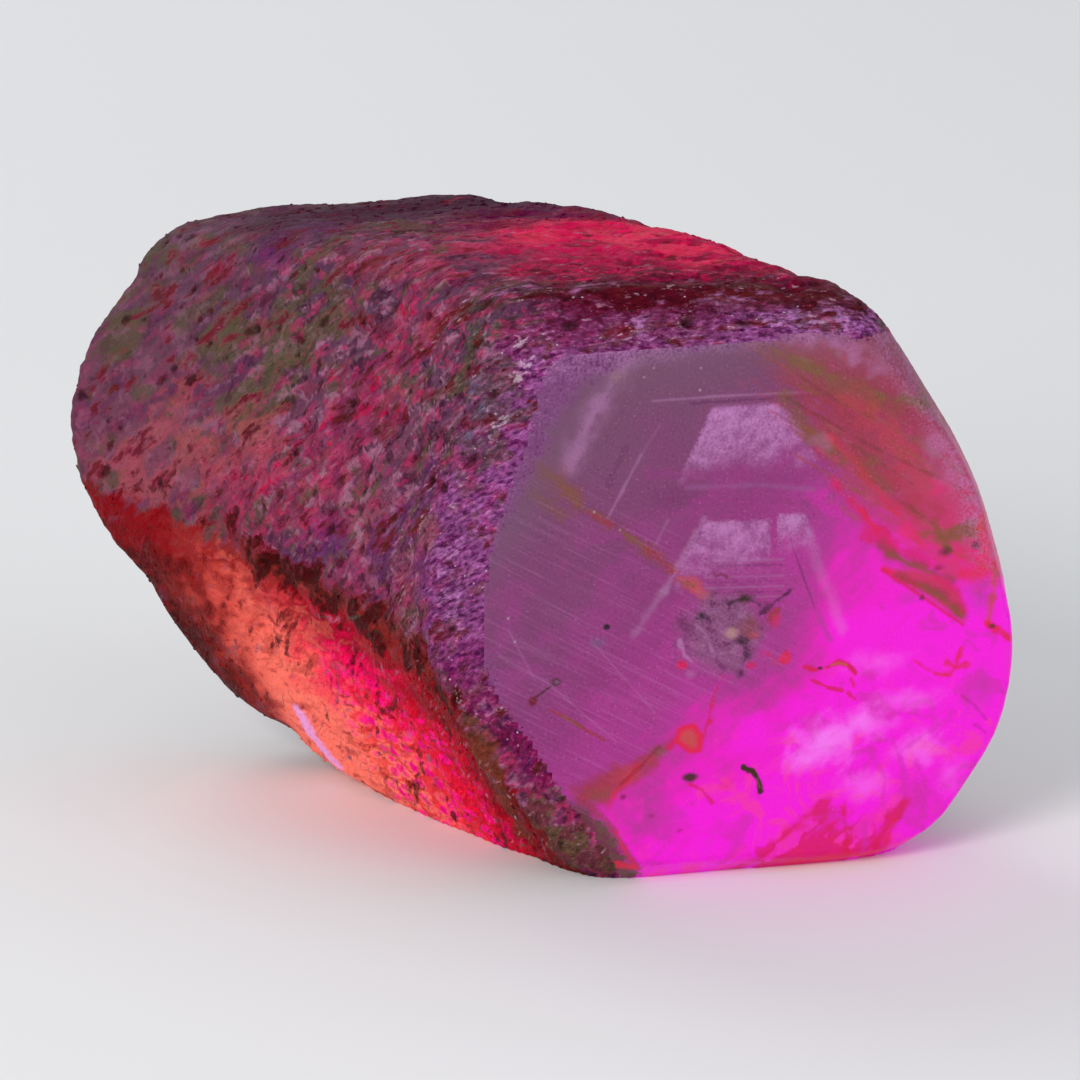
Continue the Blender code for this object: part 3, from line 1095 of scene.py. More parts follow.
def paint_mottling(coat):
    """Duller and more purple towards the top, with soft patches of olive, red and violet all over."""
    paint = coat.paint
    near = 1 - coat.far * 0.65
    coat.colour = paint.ramp(coat.z + coat.broad * 1.4, SKIN_GROUND)
    coat.wash(SKIN_FAR, coat.far * 0.5)
    coat.wash(SKIN_PURPLE, coat.patches("purple", 0.5, 0.9) * 0.6)
    coat.wash(SKIN_RED, coat.patches("red", 0.55, 0.9) * near * 0.35)
    coat.wash(SKIN_OLIVE, coat.patches("olive", 0.5, 0.85) * 0.65)
    coat.wash(SKIN_PALE, coat.patches("pale", 0.55, 0.9) * near * 0.6)
    coat.wash(SKIN_SHADE, coat.patches("shade", 0.55, 0.85) * near * 0.7)
    coat.wash(SKIN_ROSE, coat.patches("rose", 0.6, 0.9) * near * 0.6)


def paint_zones(coat):
    """Olive, salmon, violet and pink parts of the skin."""
    paint = coat.paint
    coat.wash(SKIN_OLIVE, coat.zone("olive", 0.3, 0.9, patchy=1.2) * 0.75)
    coat.wash(SKIN_SALMON, coat.zone("salmon", 0.3, 1.0, patchy=1.4) * 0.55)
    coat.wash(VIOLET, coat.zone("violet", 0.3, 1.0, patchy=1.2, streaked=1.4) * 0.7)
    pink = coat.zone("pink", 0.35, 0.95, patchy=1.4, streaked=2.0)
    coat.wash(SKIN_ROSE, pink * 0.55)
    coat.wash(SKIN_CRIMSON, pink * coat.patches("crimson", 0.7, 0.88) * 0.8)
    coat.wash(SKIN_SALMON, pink * coat.patches("shade", 0.4, 0.1) * 0.3)
    coat.wash(SKIN_PURPLE, pink * coat.patches("brown", 0.5, 0.75) * 0.5)
    corner = coat.zone("corner", 0.2, 0.7, patchy=1.0)
    coat.wash(CORNER_GREEN, corner * coat.patches("rose", 0.6, 0.35) * 0.85)
    coat.wash(PIT_RED, coat.zone("corner", 0.3, 0.8) * coat.patches("crimson", 0.72, 0.9) * 0.8)
    coat.wash(TEAL_GREEN, paint.rise(paint.attribute("teal zone") + (coat.fine - 0.5) * 2.0, 0.4, 0.8) * 0.7)


def paint_bevel(coat):
    """The sugary purple bevel beside the window, paler in places."""
    paint = coat.paint
    bevel = coat.zone("bevel", 0.3, 0.75)
    above = paint.rise(coat.z + coat.broad * 1.6, -2.7, -0.4)
    purple = paint.mix(BEVEL_MAGENTA, BEVEL_PURPLE, above)
    purple = paint.mix(purple, BEVEL_ROSE, coat.patches("shade", 0.6, 0.9) * 0.5)
    grains = paint.mix(BEVEL_DEEP, purple, paint.rise(coat.own * 0.4 + coat.fine + coat.streak, 0.85, 1.3))
    bright = paint.attribute("bright zone") * 0.35
    top = paint.rise(coat.z, 5.2, 5.9)
    right_top = top * paint.rise(coat.x + coat.broad * 2, -0.5, 1.6)
    grains = paint.mix(grains, TOP_BROWN, top * paint.rise(coat.x + coat.broad * 2, 1.0, -1.5) * 0.55)
    pale = paint.rise(coat.own * 0.3 + coat.fine + bright + right_top * 0.3, 0.7, 1.2)
    grains = paint.mix(grains, BEVEL_LIGHT, pale * (0.2 + above * 0.5))
    corner = paint.rise(paint.attribute("corner zone") + coat.broad * 1.2, 0.5, 0.1)
    coat.wash(grains, bevel * (0.3 + corner * 0.62))


def paint_lower_face(coat):
    """The lower left face, painted as glowing with light shining through it: crimson under the fold, then
    coral, and brown at the far end.
    """
    paint = coat.paint
    below = FOLD_HEIGHT + FOLD_CLIMB * coat.y - coat.z
    sweep = paint.attribute("sweep") - 0.5
    lines = paint.noise(coat.place, LINE_SIZE, detail=2.0, roughness=0.6, distortion=0.5, shift=83.0)
    glow = coat.zone("glow", 0.35, 0.8, patchy=0.6, streaked=1.2)
    face = paint.ramp(coat.y + coat.broad * 1.2 + sweep * 0.7, LOWER_FACE)
    # Painted glow: peach and coral where the face is brightest, towards its lower edge.
    peach = paint.rise(below + sweep * 1.8, 2.6, 4.6) * paint.rise(coat.y, 3.5, 7.0)
    face = paint.mix(face, EDGE_CORAL, peach * paint.rise(coat.y, 11.2, 10.2))
    face = paint.mix(face, FOLD_RED, paint.rise(below + sweep * 1.6 + coat.y * 0.06, 3.3, 1.1) * 0.9)
    face = paint.mix(face, FOLD_RED, paint.rise(sweep, 0.25, 0.48) * 0.5)
    swept = paint.rise(sweep, -0.2, -0.45) * paint.rise(coat.y, 4.0, 8.0) * paint.rise(coat.y, 11.5, 9.5)
    face = paint.mix(face, EDGE_CORAL, swept * 0.35)
    middle, own = paint.crystals(coat.place, BEADED_SIZE, shift=7.0)
    beaded = paint.rise(coat.y, 2.4, 3.8) * paint.rise(coat.y, 8.2, 6.6) * paint.rise(below, 1.8, 3.0)
    face = paint.mix(face, BEAD_PINK, paint.rise(middle - own * 0.3, 0.34, 0.12) * beaded * 0.85)
    face = paint.mix(face, BEAD_ORANGE, paint.rise(middle, 0.5, 0.7) * beaded * 0.7)
    face = paint.mix(face, FOLD_RED, paint.rise(lines, 0.56, 0.7) * 0.5)
    face = paint.mix(face, LINE_OLIVE, paint.rise(lines, 0.64, 0.74) * paint.rise(coat.y, 9.5, 7.0) * 0.6)
    coat.wash(face, glow)
    coat.wash(FOLD_RED, coat.zone("fold", 0.25, 0.9, patchy=1.0, streaked=1.6) * 0.9)
    coat.wash(FOLD_DARK, coat.zone("fold", 0.4, 1.2, patchy=1.6, streaked=2.4) * 0.85)
    coat.wash(LINE_OLIVE, coat.zone("fold", 0.7, 1.1, patchy=-1.4, streaked=-2.0) * 0.2)
    coat.wash(LINE_OLIVE, coat.zone("dark foot", 0.3, 0.9, streaked=2.0) * 0.7)
    green = [(-7.9, 7.4, -1.6), (-7.6, 6.9, -2.0), (-7.4, 6.0, -1.9), (-7.2, 4.7, -1.5)]
    coat.stroke(green, 0.14, CORNER_GREEN, 0.8, soft=0.7)
    coat.stroke([(-6.5, 1.6, -1.2), (-6.4, 0.9, -1.6), (-6.1, 0.7, -2.3)], 0.3, CORNER_GREEN, 0.7)
    olive = [(-7.4, 6.6, -3.1), (-6.9, 5.0, -3.4), (-6.2, 4.2, -4.3), (-5.4, 3.4, -5.2)]
    coat.stroke(olive, 0.14, LINE_OLIVE, 0.7, soft=0.7)
    return glow


def paint_top(coat):
    """The top face: dull at the far end, then a painted glow in ember colours, crimson, and the dark crest by
    the window.
    """
    paint = coat.paint
    upward = paint.rise(coat.z + coat.broad * 0.3, 5.8, 6.4)
    stray = coat.broad * 1.8 + (coat.streak - 0.5) * 2.4
    face = paint.ramp(coat.y + stray, TOP_FACE)
    face = paint.mix(face, TOP_BROWN, coat.patches("brown", 0.6, 0.9) * 0.55)
    crimson = paint.rise(coat.y + stray * 0.5, 1.4, 2.4) * paint.rise(coat.y, 6.0, 4.0)
    face = paint.mix(face, TOP_RED, coat.patches("crimson", 0.35, 0.75) * crimson * 0.85)
    far_left = paint.rise(coat.x + stray * 0.6, -2.4, -5.2)
    coat.wash(face, upward * (1 - far_left * 0.85))
    coat.wash(TOP_DARK, upward * paint.rise(coat.y, 7.5, 11.0) * 0.8)
    ember = coat.zone("ember", 0.5, 1.0, patchy=1.0, streaked=2.0)
    glow = paint.mix(EMBER_PINK, EMBER_ORANGE, paint.rise(coat.broad, -0.15, 0.15))
    coat.wash(glow, ember * 0.5)
    coat.wash(CREST_DARK, coat.zone("crest", 0.45, 1.0, patchy=1.0, streaked=2.0) * 0.6)
    coat.wash(CREST_OLIVE, coat.zone("crest", 0.4, 0.9, patchy=-1.2) * paint.rise(coat.x, -1.5, 1.5) * 0.5)
    crest = coat.zone("crest", 0.7, 1.0, patchy=-0.8)
    coat.wash(BEVEL_LIGHT, crest * paint.rise(coat.streak, 0.5, 0.38) * 0.4)
    # The top's bright middle and the ember zone are a painted glow, shown as emission.
    depth = coat.y + stray * 0.5
    lit = paint.rise(depth, 3.0, 4.8) * paint.rise(depth, 8.4, 6.6) * upward * (1 - far_left)
    return paint.most(ember, lit * 0.8)


def paint_grain(coat):
    """The grains' own shades, painted shade in the hollows and on the relief, glassy beads, painted glints,
    and a painted highlight on the far rim.
    """
    paint = coat.paint
    near = 1 - coat.far * 0.8
    crisp = paint.rise(coat.y, 5.0, 0.8)
    coat.wash(SKIN_DARK, paint.rise(coat.streak, 0.54, 0.72) * near * 0.6)
    unfolded = paint.rise(paint.attribute("fold zone"), 0.6, 0.2)
    coat.wash(SKIN_PALE, paint.rise(coat.streak, 0.42, 0.28) * near * unfolded * 0.5)
    # Raised relief is painted lighter and its hollows darker: painted shade, on top of the grains' own shades.
    grain = (coat.own - 0.5) * 0.2 + (coat.fine - 0.5) * (1.0 + crisp * 1.5) + coat.relief * 0.16
    coat.colour = paint.mix(coat.colour, 1.22 + near * grain, 1.0, blend="MULTIPLY")
    pale = paint.attribute("pale zone") + (coat.streak - 0.5) * 1.5 + (coat.fine - 0.5) * 2.4
    pale = paint.rise(pale, 0.6, 1.1)
    coat.wash(SKIN_WHITE, pale * 0.5)
    # Painted glints: white flecks on the grains, and below, some crystallites paled and whitened.
    flecks = paint.rise(coat.own, 0.82, 0.98) * paint.rise(coat.fine, 0.5, 0.62)
    flecks = flecks * paint.rise(coat.broad, -0.1, 0.3)
    coat.wash(SKIN_WHITE, flecks * crisp * 0.45)
    tint = paint.attribute("tint")
    coat.wash(SKIN_PALE, paint.rise(tint, 0.8, 1.0) * crisp * 0.4)
    coat.wash(SKIN_WHITE, paint.rise(tint, 0.965, 1.0) * crisp * 0.8)
    # Pits, grooves and holes are darkened in dark red and near black: painted shade in the hollows.
    pit = paint.rise(paint.attribute("pit") + (coat.fine - 0.5) * 0.8, 0.2, 0.8)
    coat.wash(paint.mix(PIT_RED, SKIN_DARK, paint.rise(coat.broad, -0.1, 0.1)), pit * 0.75)
    coat.wash(BEAD_PINK, paint.rise(paint.attribute("bead"), 0.2, 0.55))
    # A painted highlight, which glows in the emission too.
    glare = paint.rise(paint.attribute("glare zone") + (coat.fine - 0.5) * 1.2, 0.2, 1.0)
    coat.wash(PAINTED_HIGHLIGHT_PINK, glare * 0.9)
    return glare


def skin_material(name):
    """The natural faces: mauve, purple and olive growth streaks, and a painted glow along the lower left, on
    the top and on the smooth sides.
    """
    paint = Paint(name)
    coat = Coat(paint)
    paint_mottling(coat)
    paint_zones(coat)
    paint_bevel(coat)
    glow = paint_lower_face(coat)
    ember = paint_top(coat)
    brown = coat.zone("brown foot", 0.3, 0.6, streaked=0.5)
    coat.wash(paint.mix(PATCH_BROWN, PATCH_OLIVE, coat.patches("brown", 0.3, 0.7)), brown * 0.95)
    # A painted glow on the smooth sides beside the window: pink and lilac, shown as emission too.
    rim = paint.rise(paint.attribute("rim") + coat.broad * 0.4, 0.2, 0.7)
    coat.wash(paint.mix(RIM_LILAC, RIM_PINK, paint.rise(coat.z + coat.broad * 1.4, -1.5, 0.5)), rim)
    glare = paint_grain(coat)
    # Where the skin is painted as glowing: the lower left face, the top, the smooth sides and the painted
    # highlight; emission shows it.
    lit = glow * paint.rise(coat.y, 1.2, 4.5) * paint.rise(coat.y, 12.0, 9.5)
    lit = paint.most(paint.most(lit, ember), paint.most(rim * 0.8, glare)) * (1 - brown)
    roughness = 0.45 + coat.own * 0.2
    return paint.finish(coat.colour, lit, roughness, coat.fine * SKIN_BUMP, SKIN_DEPTH, SKIN_GLOSS)


# --- The ground window ----------------------------------------------------------------------------

WINDOW_OUTLINE = [(-5.29, -3.23), (-5.94, -0.87), (-5.89, 0.72), (-4.83, 2.91), (-3.54, 4.95), (-2.07, 5.45),
                  (2.81, 5.7), (9.0, 5.9), (9.0, -9.0), (-1.7, -9.0)]
UPPER_RIM = [(1.0, 5.75), (3.4, 5.6), (4.71, 3.8), (5.57, 1.9), (6.4, -0.6), (6.4, -9.0), (-9.0, -9.0),
             (-9.0, 5.0)]

# The sizes of the window's noises in millimetres: bends in what is painted, clouds, fine lumps and grit.
BEND_SIZE, CLOUD_SIZE, FINE_SIZE, GRIT_SIZE = 0.5, 1.6, 0.3, 0.07

# How high the grit stands in millimetres on the ground window, and how much higher in its frost.
GRIT_BUMP, FROST_BUMP = 0.012, 0.05

# The ground turns from mauve to the painted glow's magenta this far to the lower right of the middle, later
# round the core.
GLOW_START, GLOW_STEEPNESS = 1.6, 0.66
GROUND_CORE, CORE_REACH = (0.7, 0.0, -1.3), 2.4

# The orange fan opens from a corner between two sides, which are given by the ways across them.
FAN_CORNER = (2.12, 2.43)
FAN_UPPER_SIDE, FAN_LOWER_SIDE = (0.875, 0.484), (0.739, 0.674)

# The foot's flames end at two lines: how each slopes, and how far below the middle it starts.
RISING_FLAMES, FALLING_FLAMES = (0.6, 6.7), (-0.4, 4.4)

# Which way scratches and brush marks run, in degrees up from the right.
SCRATCH_MARKS, FAN_HAIRS, BRUSH_MARKS = -30, -33, 38


def scratches(paint, flat, degrees, pitch, length, shift, low, high):
    """Fine straight marks that all run one way: noise drawn out along that way."""
    turned = paint.node(
        "ShaderNodeVectorRotate",
        {"rotation_type": "Y_AXIS"},
        {"Vector": flat, "Angle": math.radians(degrees)},
    )
    streak = paint.noise(paint.output(turned), (length, 1.0, pitch), detail=2.0, roughness=0.6, shift=shift)
    return paint.rise(streak, low, high)


def paint_ground(paint, flat, x, z, cloud, fine, brush):
    """The window's ground, from mauve on the upper left to hot magenta where a painted glow shines through.
    Returns how far into the glow each place is too.
    """
    core = paint.rise(paint.vector("DISTANCE", flat, GROUND_CORE), CORE_REACH, 0.3)
    glow_level = (x - z - GLOW_START) * GLOW_STEEPNESS + (cloud - 0.5) * 2.6
    glow_level = glow_level + (fine - 0.5) * 0.7 + (brush - 0.5) * 0.8 - core * 1.3
    colour = paint.ramp(glow_level, WINDOW_GROUND)
    orchid = paint.rise(cloud, 0.56, 0.42) * paint.rise(glow_level, 0.0, -1.0)
    colour = paint.mix(colour, WINDOW_ORCHID, orchid * 0.35)
    dull = paint.rise(x * 0.6 - z + (cloud - 0.5) * 2.0, -2.6, -5.0)
    colour = paint.mix(colour, WINDOW_DULL, dull * 0.85)
    return colour, glow_level


# The noises of the painted glow's brightest part show only in squares that reach further than this to the
# right and down.
HOT_PART = -0.3


def paint_glow(canvas):
    """Painted glow: whitish clouds where it is brightest, pure magenta between them, and pinker veils towards
    the foot.
    """
    paint = canvas.paint
    height, cloud, fine, brush, glow_level = (
        canvas.shared[name] for name in ("height", "cloud", "fine", "brush", "glow_level")
    )
    _, right, low, _ = canvas.square
    if right - low > HOT_PART:
        hot = paint.rise(glow_level, 0.6, 2.0)
        veil = paint.noise(canvas.place, 0.9, detail=3.0, roughness=0.62, distortion=1.2, shift=77.0)
        canvas.wash(WARM_PINK, hot * paint.rise(veil, 0.5, 0.66) * paint.rise(height, -1.5, -4.0) * 0.8)
        canvas.wash(ROSE, hot * paint.rise(veil, 0.46, 0.34) * 0.6)
    for centre, radius, amount in (
        ((2.4, -3.9), (1.0, 0.6), 0.9),
        ((3.3, -3.6), (0.9, 0.5), 0.7),
        ((4.5, -4.3), (0.7, 0.6), 0.6),
        ((1.8, -4.3), (0.6, 0.4), 0.6),
        ((4.2, -3.1), (0.9, 0.35), 0.45),
        ((3.6, -2.2), (0.8, 0.4), 0.4),
        ((5.3, -5.0), (0.5, 0.5), 0.35),
        ((3.3, -5.0), (0.8, 0.4), 0.4),
    ):
        if not canvas.reaches([centre], max(radius) * 2.4):
            continue
        distance = paint.to_middle(canvas.place, centre, radius)
        stray = (cloud - 0.5) * 1.8 + (brush - 0.5) * 0.4 + (fine - 0.5) * 0.8
        canvas.wash(PINK_WHITE, paint.rise(1.2 - distance + stray, 0.0, 1.3) * amount)
    for centre, radius, amount in (
        ((2.7, -1.4), 0.8, 0.8),
        ((0.6, -3.6), (0.9, 0.6), 0.9),
        ((-0.5, -5.5), (0.9, 0.5), 0.95),
        ((3.4, -1.6), 0.5, 0.7),
        ((1.6, -3.0), (0.8, 0.4), 0.6),
        ((2.2, -5.0), (0.7, 0.3), 0.5),
        ((-0.6, -6.3), (1.2, 0.35), 0.6),
        ((4.4, -2.6), (1.0, 0.3), 0.6),
    ):
        canvas.spot(centre, radius, HOT_MAGENTA, amount, soft=0.95, ragged=0.7)
    canvas.spot((-1.8, -5.3), (0.9, 0.8), PINK_MAUVE, 0.8, ragged=0.8)
    canvas.spot((4.6, -5.4), (1.0, 0.8), ROSE, 0.6, ragged=0.9)
    canvas.spot((5.95, -0.75), (0.6, 0.6), PINK_MAUVE, 0.9, ragged=0.8)
    canvas.spot((4.25, -0.75), (0.4, 0.25), PINK_MAUVE, 0.4)
    canvas.spot((6.0, -3.0), (0.6, 0.8), PINK_MAUVE, 0.45)
    for points, width, amount in (
        ([(3.93, -4.02), (4.18, -4.63), (4.23, -5.34), (4.05, -6.03)], 0.22, 0.55),
        ([(3.4, -4.2), (3.75, -4.9), (3.7, -5.5)], 0.2, 0.4),
        ([(4.5, -4.6), (4.75, -5.1), (4.6, -5.9)], 0.25, 0.45),
        ([(5.3, -3.6), (4.6, -4.0), (4.1, -4.3)], 0.2, 0.4),
    ):
        canvas.stroke(points, width, ROSE, amount, ragged=0.7)


def paint_zoning(canvas):
    """The pale lines and panels of the trapiche hexagon."""
    band = [(-2.2, 5.5), (-2.6, 4.89), (-3.0, 4.3), (-3.4, 3.6), (-3.7, 2.9)]
    canvas.stroke(band, 0.95, WINDOW_PALE, 0.4, grainy=1.0)
    canvas.stroke(band, 0.45, WINDOW_LIGHT, 0.3, ragged=0.8, grainy=1.6)
    canvas.spot((-2.6, 4.85), (0.3, 0.22), CREAM, 0.6, ragged=0.9, grainy=1.5)
    canvas.strokes(
        ([(-2.04, 3.04), (-2.41, 2.37), (-2.8, 1.67)], 0.14, WINDOW_PALE, 0.55),
        ([(-1.6, 3.7), (-2.04, 3.04)], 0.12, WINDOW_PALE, 0.25),
        ([(-2.4, 3.2), (-2.82, 2.4)], 0.2, WINDOW_DEEP, 0.3),
        ([(-1.41, 1.51), (-1.71, 0.94)], 0.12, WINDOW_PALE, 0.3),
        grainy=1.0,
    )
    edge = [(-0.57, 1.45), (-0.8, 1.07), (-1.12, 0.53), (-1.49, -0.13)]
    canvas.stroke(edge, 0.26, WINDOW_PALE, 0.6, ragged=0.4)
    canvas.stroke([(-1.49, -0.13), (-1.85, -0.6), (-2.17, -1.02)], 0.34, WINDOW_PALE, 0.45, grainy=0.8)
    canvas.spot((-1.2, 2.0), (0.9, 0.5), WINDOW_DEEP, 0.25)
    canvas.spot((-1.6, 3.4), (0.8, 0.9), WINDOW_MAUVE, 0.5, ragged=0.8)
    canvas.stroke([(-1.79, 4.25), (-0.21, 4.25), (1.93, 4.19)], 0.09, WINDOW_PALE, 0.5, grainy=0.8)
    canvas.stroke([(-0.9, 4.14), (1.19, 4.1), (2.36, 4.1)], 0.09, WINDOW_DEEP, 0.5, grainy=0.8)
    for height, amount in ((0.5, 0.35), (0.12, 0.25), (-0.12, 0.4), (-0.35, 0.3)):
        canvas.stroke([(-0.55, height), (1.3, height - 0.1)], 0.1, WINDOW_PALE, amount, grainy=0.8)
        canvas.stroke([(-0.5, height - 0.12), (1.3, height - 0.22)], 0.08, WINDOW_DEEP, amount, grainy=0.8)
    canvas.strokes(
        ([(1.3, 0.9), (1.69, 0.0), (1.98, -0.64), (2.41, -1.56)], 0.3, PINK_MAUVE, 0.7),
        ([(1.47, 0.83), (1.75, 0.0), (2.05, -0.8)], 0.08, WINDOW_DEEP, 0.45),
        ([(1.9, 0.9), (2.2, -0.1), (2.7, -1.3)], 0.45, WINDOW_LIGHT, 0.2),
    )


def paint_tile(canvas, corners, low, high, amount):
    """One mottled tile, crisp at its top and its sides, that fades out below."""
    if not canvas.reaches(corners, 0.4):
        return
    paint = canvas.paint
    height, cloud, fine = (canvas.shared[name] for name in ("height", "cloud", "fine"))
    mottle = paint.rise((fine - 0.5) * 1.6 + (cloud - 0.5) + canvas.grit * 0.5, -0.4, 0.4)
    fade = paint.rise(height + canvas.ragged * 0.5 + (cloud - 0.5) * 0.8, low, high)
    edge = paint.rise(canvas.inside(corners) + canvas.ragged * 0.05 + canvas.grit * 0.12, 0.0, 0.12)
    canvas.wash(paint.mix(TILE_MAUVE, WINDOW_LIGHT, mottle), edge * fade * amount)


def paint_tiles(canvas):
    """The three pale tiles, with darker bands between them."""
    if not canvas.reaches([(-1.9, 4.2), (2.4, -0.6)], 0.4):
        return
    upper = [(-0.46, 4.08), (1.16, 4.03), (1.75, 3.5), (2.3, 2.2), (-1.35, 2.2), (-0.95, 3.0)]
    paint_tile(canvas, upper, 2.3, 3.3, 0.8)
    canvas.spot((-0.1, 3.85), (0.5, 0.22), WINDOW_LIGHT, 0.6, ragged=0.6)
    canvas.spot((2.01, 3.88), (0.22, 0.16), WINDOW_LIGHT, 0.4)
    canvas.spot((2.27, 3.06), (0.22, 0.3), WINDOW_LIGHT, 0.45, ragged=0.7)
    canvas.stroke([(-1.83, 2.59), (-0.67, 2.5), (1.67, 2.24)], 0.4, WINDOW_PLUM, 0.5)
    canvas.stroke([(-1.0, 2.22), (0.74, 2.15), (2.0, 1.95)], 0.2, TILE_MAUVE, 0.5, grainy=0.6)
    canvas.stroke([(-0.9, 1.9), (0.74, 1.8), (2.05, 1.6)], 0.22, WINDOW_PLUM, 0.7)
    lower = [(-0.56, 1.46), (1.03, 1.4), (1.05, -0.6), (-1.45, -0.6), (-1.15, 0.5)]
    paint_tile(canvas, lower, -0.2, 0.9, 0.7)
    canvas.spot((-0.1, 1.2), (0.5, 0.2), WINDOW_LIGHT, 0.5, ragged=0.7)
    small = [(1.12, 1.5), (1.86, 1.46), (2.15, 0.6), (2.3, 0.0), (1.12, 0.0)]
    paint_tile(canvas, small, 0.5, 1.3, 0.75)
    canvas.spot((1.5, 1.25), (0.36, 0.2), WINDOW_LIGHT, 0.6)


def past_side(x, z, side):
    """How far past one of the fan's sides a place is."""
    return (x - FAN_CORNER[0]) * side[0] + (z - FAN_CORNER[1]) * side[1]


def paint_orange_fan(canvas):
    """The orange and olive fan on the upper right."""
    paint = canvas.paint
    x, z, fine, hairs = (canvas.shared[name] for name in ("across", "height", "fine", "hairs"))
    if not canvas.reaches([(0.0, 6.0), (7.0, 6.0), (7.0, -0.8)], 0.4):
        return
    upper = past_side(x, z, FAN_UPPER_SIDE)
    lower = past_side(x, z, FAN_LOWER_SIDE)
    depth = paint.least(upper, lower) + (fine - 0.5) * 0.8 + (hairs - 0.5) * 0.8 + canvas.ragged * 0.25
    above_hook = paint.rise(z + (fine - 0.5) * 0.6 + canvas.ragged * 0.2, -0.75, -0.25)
    zone = paint.rise(depth, -0.35, 0.75) * above_hook
    canvas.wash(paint.ramp(z + (fine - 0.5) * 1.6 + canvas.ragged * 0.5, FAN), zone * 0.92)
    streak = (hairs - 0.5) + (fine - 0.5) * 0.8
    canvas.wash(RIM_PINK, zone * paint.rise(canvas.ragged * 0.6 + streak, 0.2, 0.8) * 0.5)
    canvas.wash(OLIVE, zone * paint.rise(streak - canvas.ragged * 0.3, 0.1, 0.45) * 0.5)
    canvas.strokes(
        ([(0.5, 5.6), (1.23, 5.1), (2.49, 4.38), (3.47, 3.9), (4.5, 3.75)], 0.8, OLIVE, 0.6),
        ([(1.1, 5.2), (1.7, 4.85), (2.4, 4.45)], 0.34, GREEN_OLIVE, 0.55),
        ([(3.5, 4.05), (4.1, 3.9), (4.6, 3.7)], 0.36, GREEN_OLIVE, 0.55),
        ([(1.25, 4.05), (1.75, 3.4), (2.4, 2.85), (3.1, 2.35), (3.8, 1.8)], 0.55, OLIVE, 0.65),
        ([(2.9, 3.9), (3.7, 3.1), (4.2, 2.4), (4.6, 1.8)], 0.9, CORAL_RED, 0.4),
        ([(3.9, 2.2), (4.3, 1.5), (4.7, 0.9)], 0.7, FAN_RED, 0.5),
        ([(2.4, 3.15), (3.08, 2.31), (3.92, 1.33), (4.59, 0.42)], 0.36, ORANGE_RED, 0.4),
        ([(2.5, 2.0), (2.86, 1.64), (3.3, 1.15), (3.7, 0.6)], 0.45, CRIMSON, 0.65),
        ([(3.1, 1.4), (3.5, 0.9), (3.9, 0.4)], 0.16, ORANGE_RED, 0.7),
        ([(4.7, 0.75), (5.2, 0.6), (5.9, 0.85)], 0.6, OLIVE, 0.85),
        ([(4.4, 1.3), (4.9, 0.9), (5.2, 0.3)], 0.3, OLIVE, 0.5),
        ([(5.98, 1.0), (6.15, 0.3), (6.0, -0.3), (5.5, -0.3)], 0.4, ORANGE_RED, 0.6),
        ([(2.2, 1.75), (2.9, 0.95), (3.7, 0.35), (4.5, 0.1)], 0.75, ROSE, 0.6),
        ([(3.3, 0.9), (4.1, 0.35), (4.9, -0.05)], 0.5, CRIMSON, 0.6),
        ([(2.9, 3.1), (3.8, 2.0), (4.7, 1.1)], 0.9, RUST, 0.45),
        ragged=0.9,
        grainy=0.3,
    )
    for points, width, amount in (
        ([(1.4, 4.05), (2.13, 3.61), (3.23, 2.92), (4.42, 2.25), (5.5, 1.7)], 0.12, 0.25),
        ([(2.3, 3.3), (3.4, 2.55), (4.4, 1.85)], 0.1, 0.2),
        ([(3.3, 2.1), (4.1, 1.5), (4.8, 0.95)], 0.12, 0.2),
        ([(1.6, 4.6), (2.6, 3.9), (3.5, 3.4)], 0.1, 0.2),
    ):
        canvas.stroke(points, width, DARK_OLIVE, amount, ragged=1.2, grainy=0.4)
    canvas.spot((3.4, 2.5), (0.34, 0.2), OLIVE, 0.6, grainy=0.8)
    canvas.spots(
        ((5.0, 1.75), (0.4, 0.3), FAN_PINK, 0.6),
        ((4.2, 0.75), (0.35, 0.3), FAN_PINK, 0.6),
        ((5.5, 0.2), (0.3, 0.2), ORANGE_RED, 0.5),
        ragged=0.8,
    )
    canvas.spots(
        ((5.12, 0.27), (0.26, 0.17), DARK_OLIVE, 0.75),
        ((5.84, 0.37), (0.18, 0.13), DARK_OLIVE, 0.75),
        ((4.95, -0.1), (0.26, 0.14), DARK_CRIMSON, 0.75),
        ragged=0.7,
    )
    for centre, radius, amount in (
        ((1.9, 5.35), (0.8, 0.35), 0.5),
        ((2.9, 4.95), (0.6, 0.35), 0.45),
        ((3.5, 4.6), (0.4, 0.3), 0.35),
        ((4.8, 2.75), (0.3, 0.6), 0.25),
        ((5.15, 2.0), (0.25, 0.5), 0.25),
        ((2.2, 2.95), (0.3, 0.35), 0.25),
    ):
        canvas.spot(centre, radius, FROST_LILAC, amount, ragged=1.6, grainy=1.4)


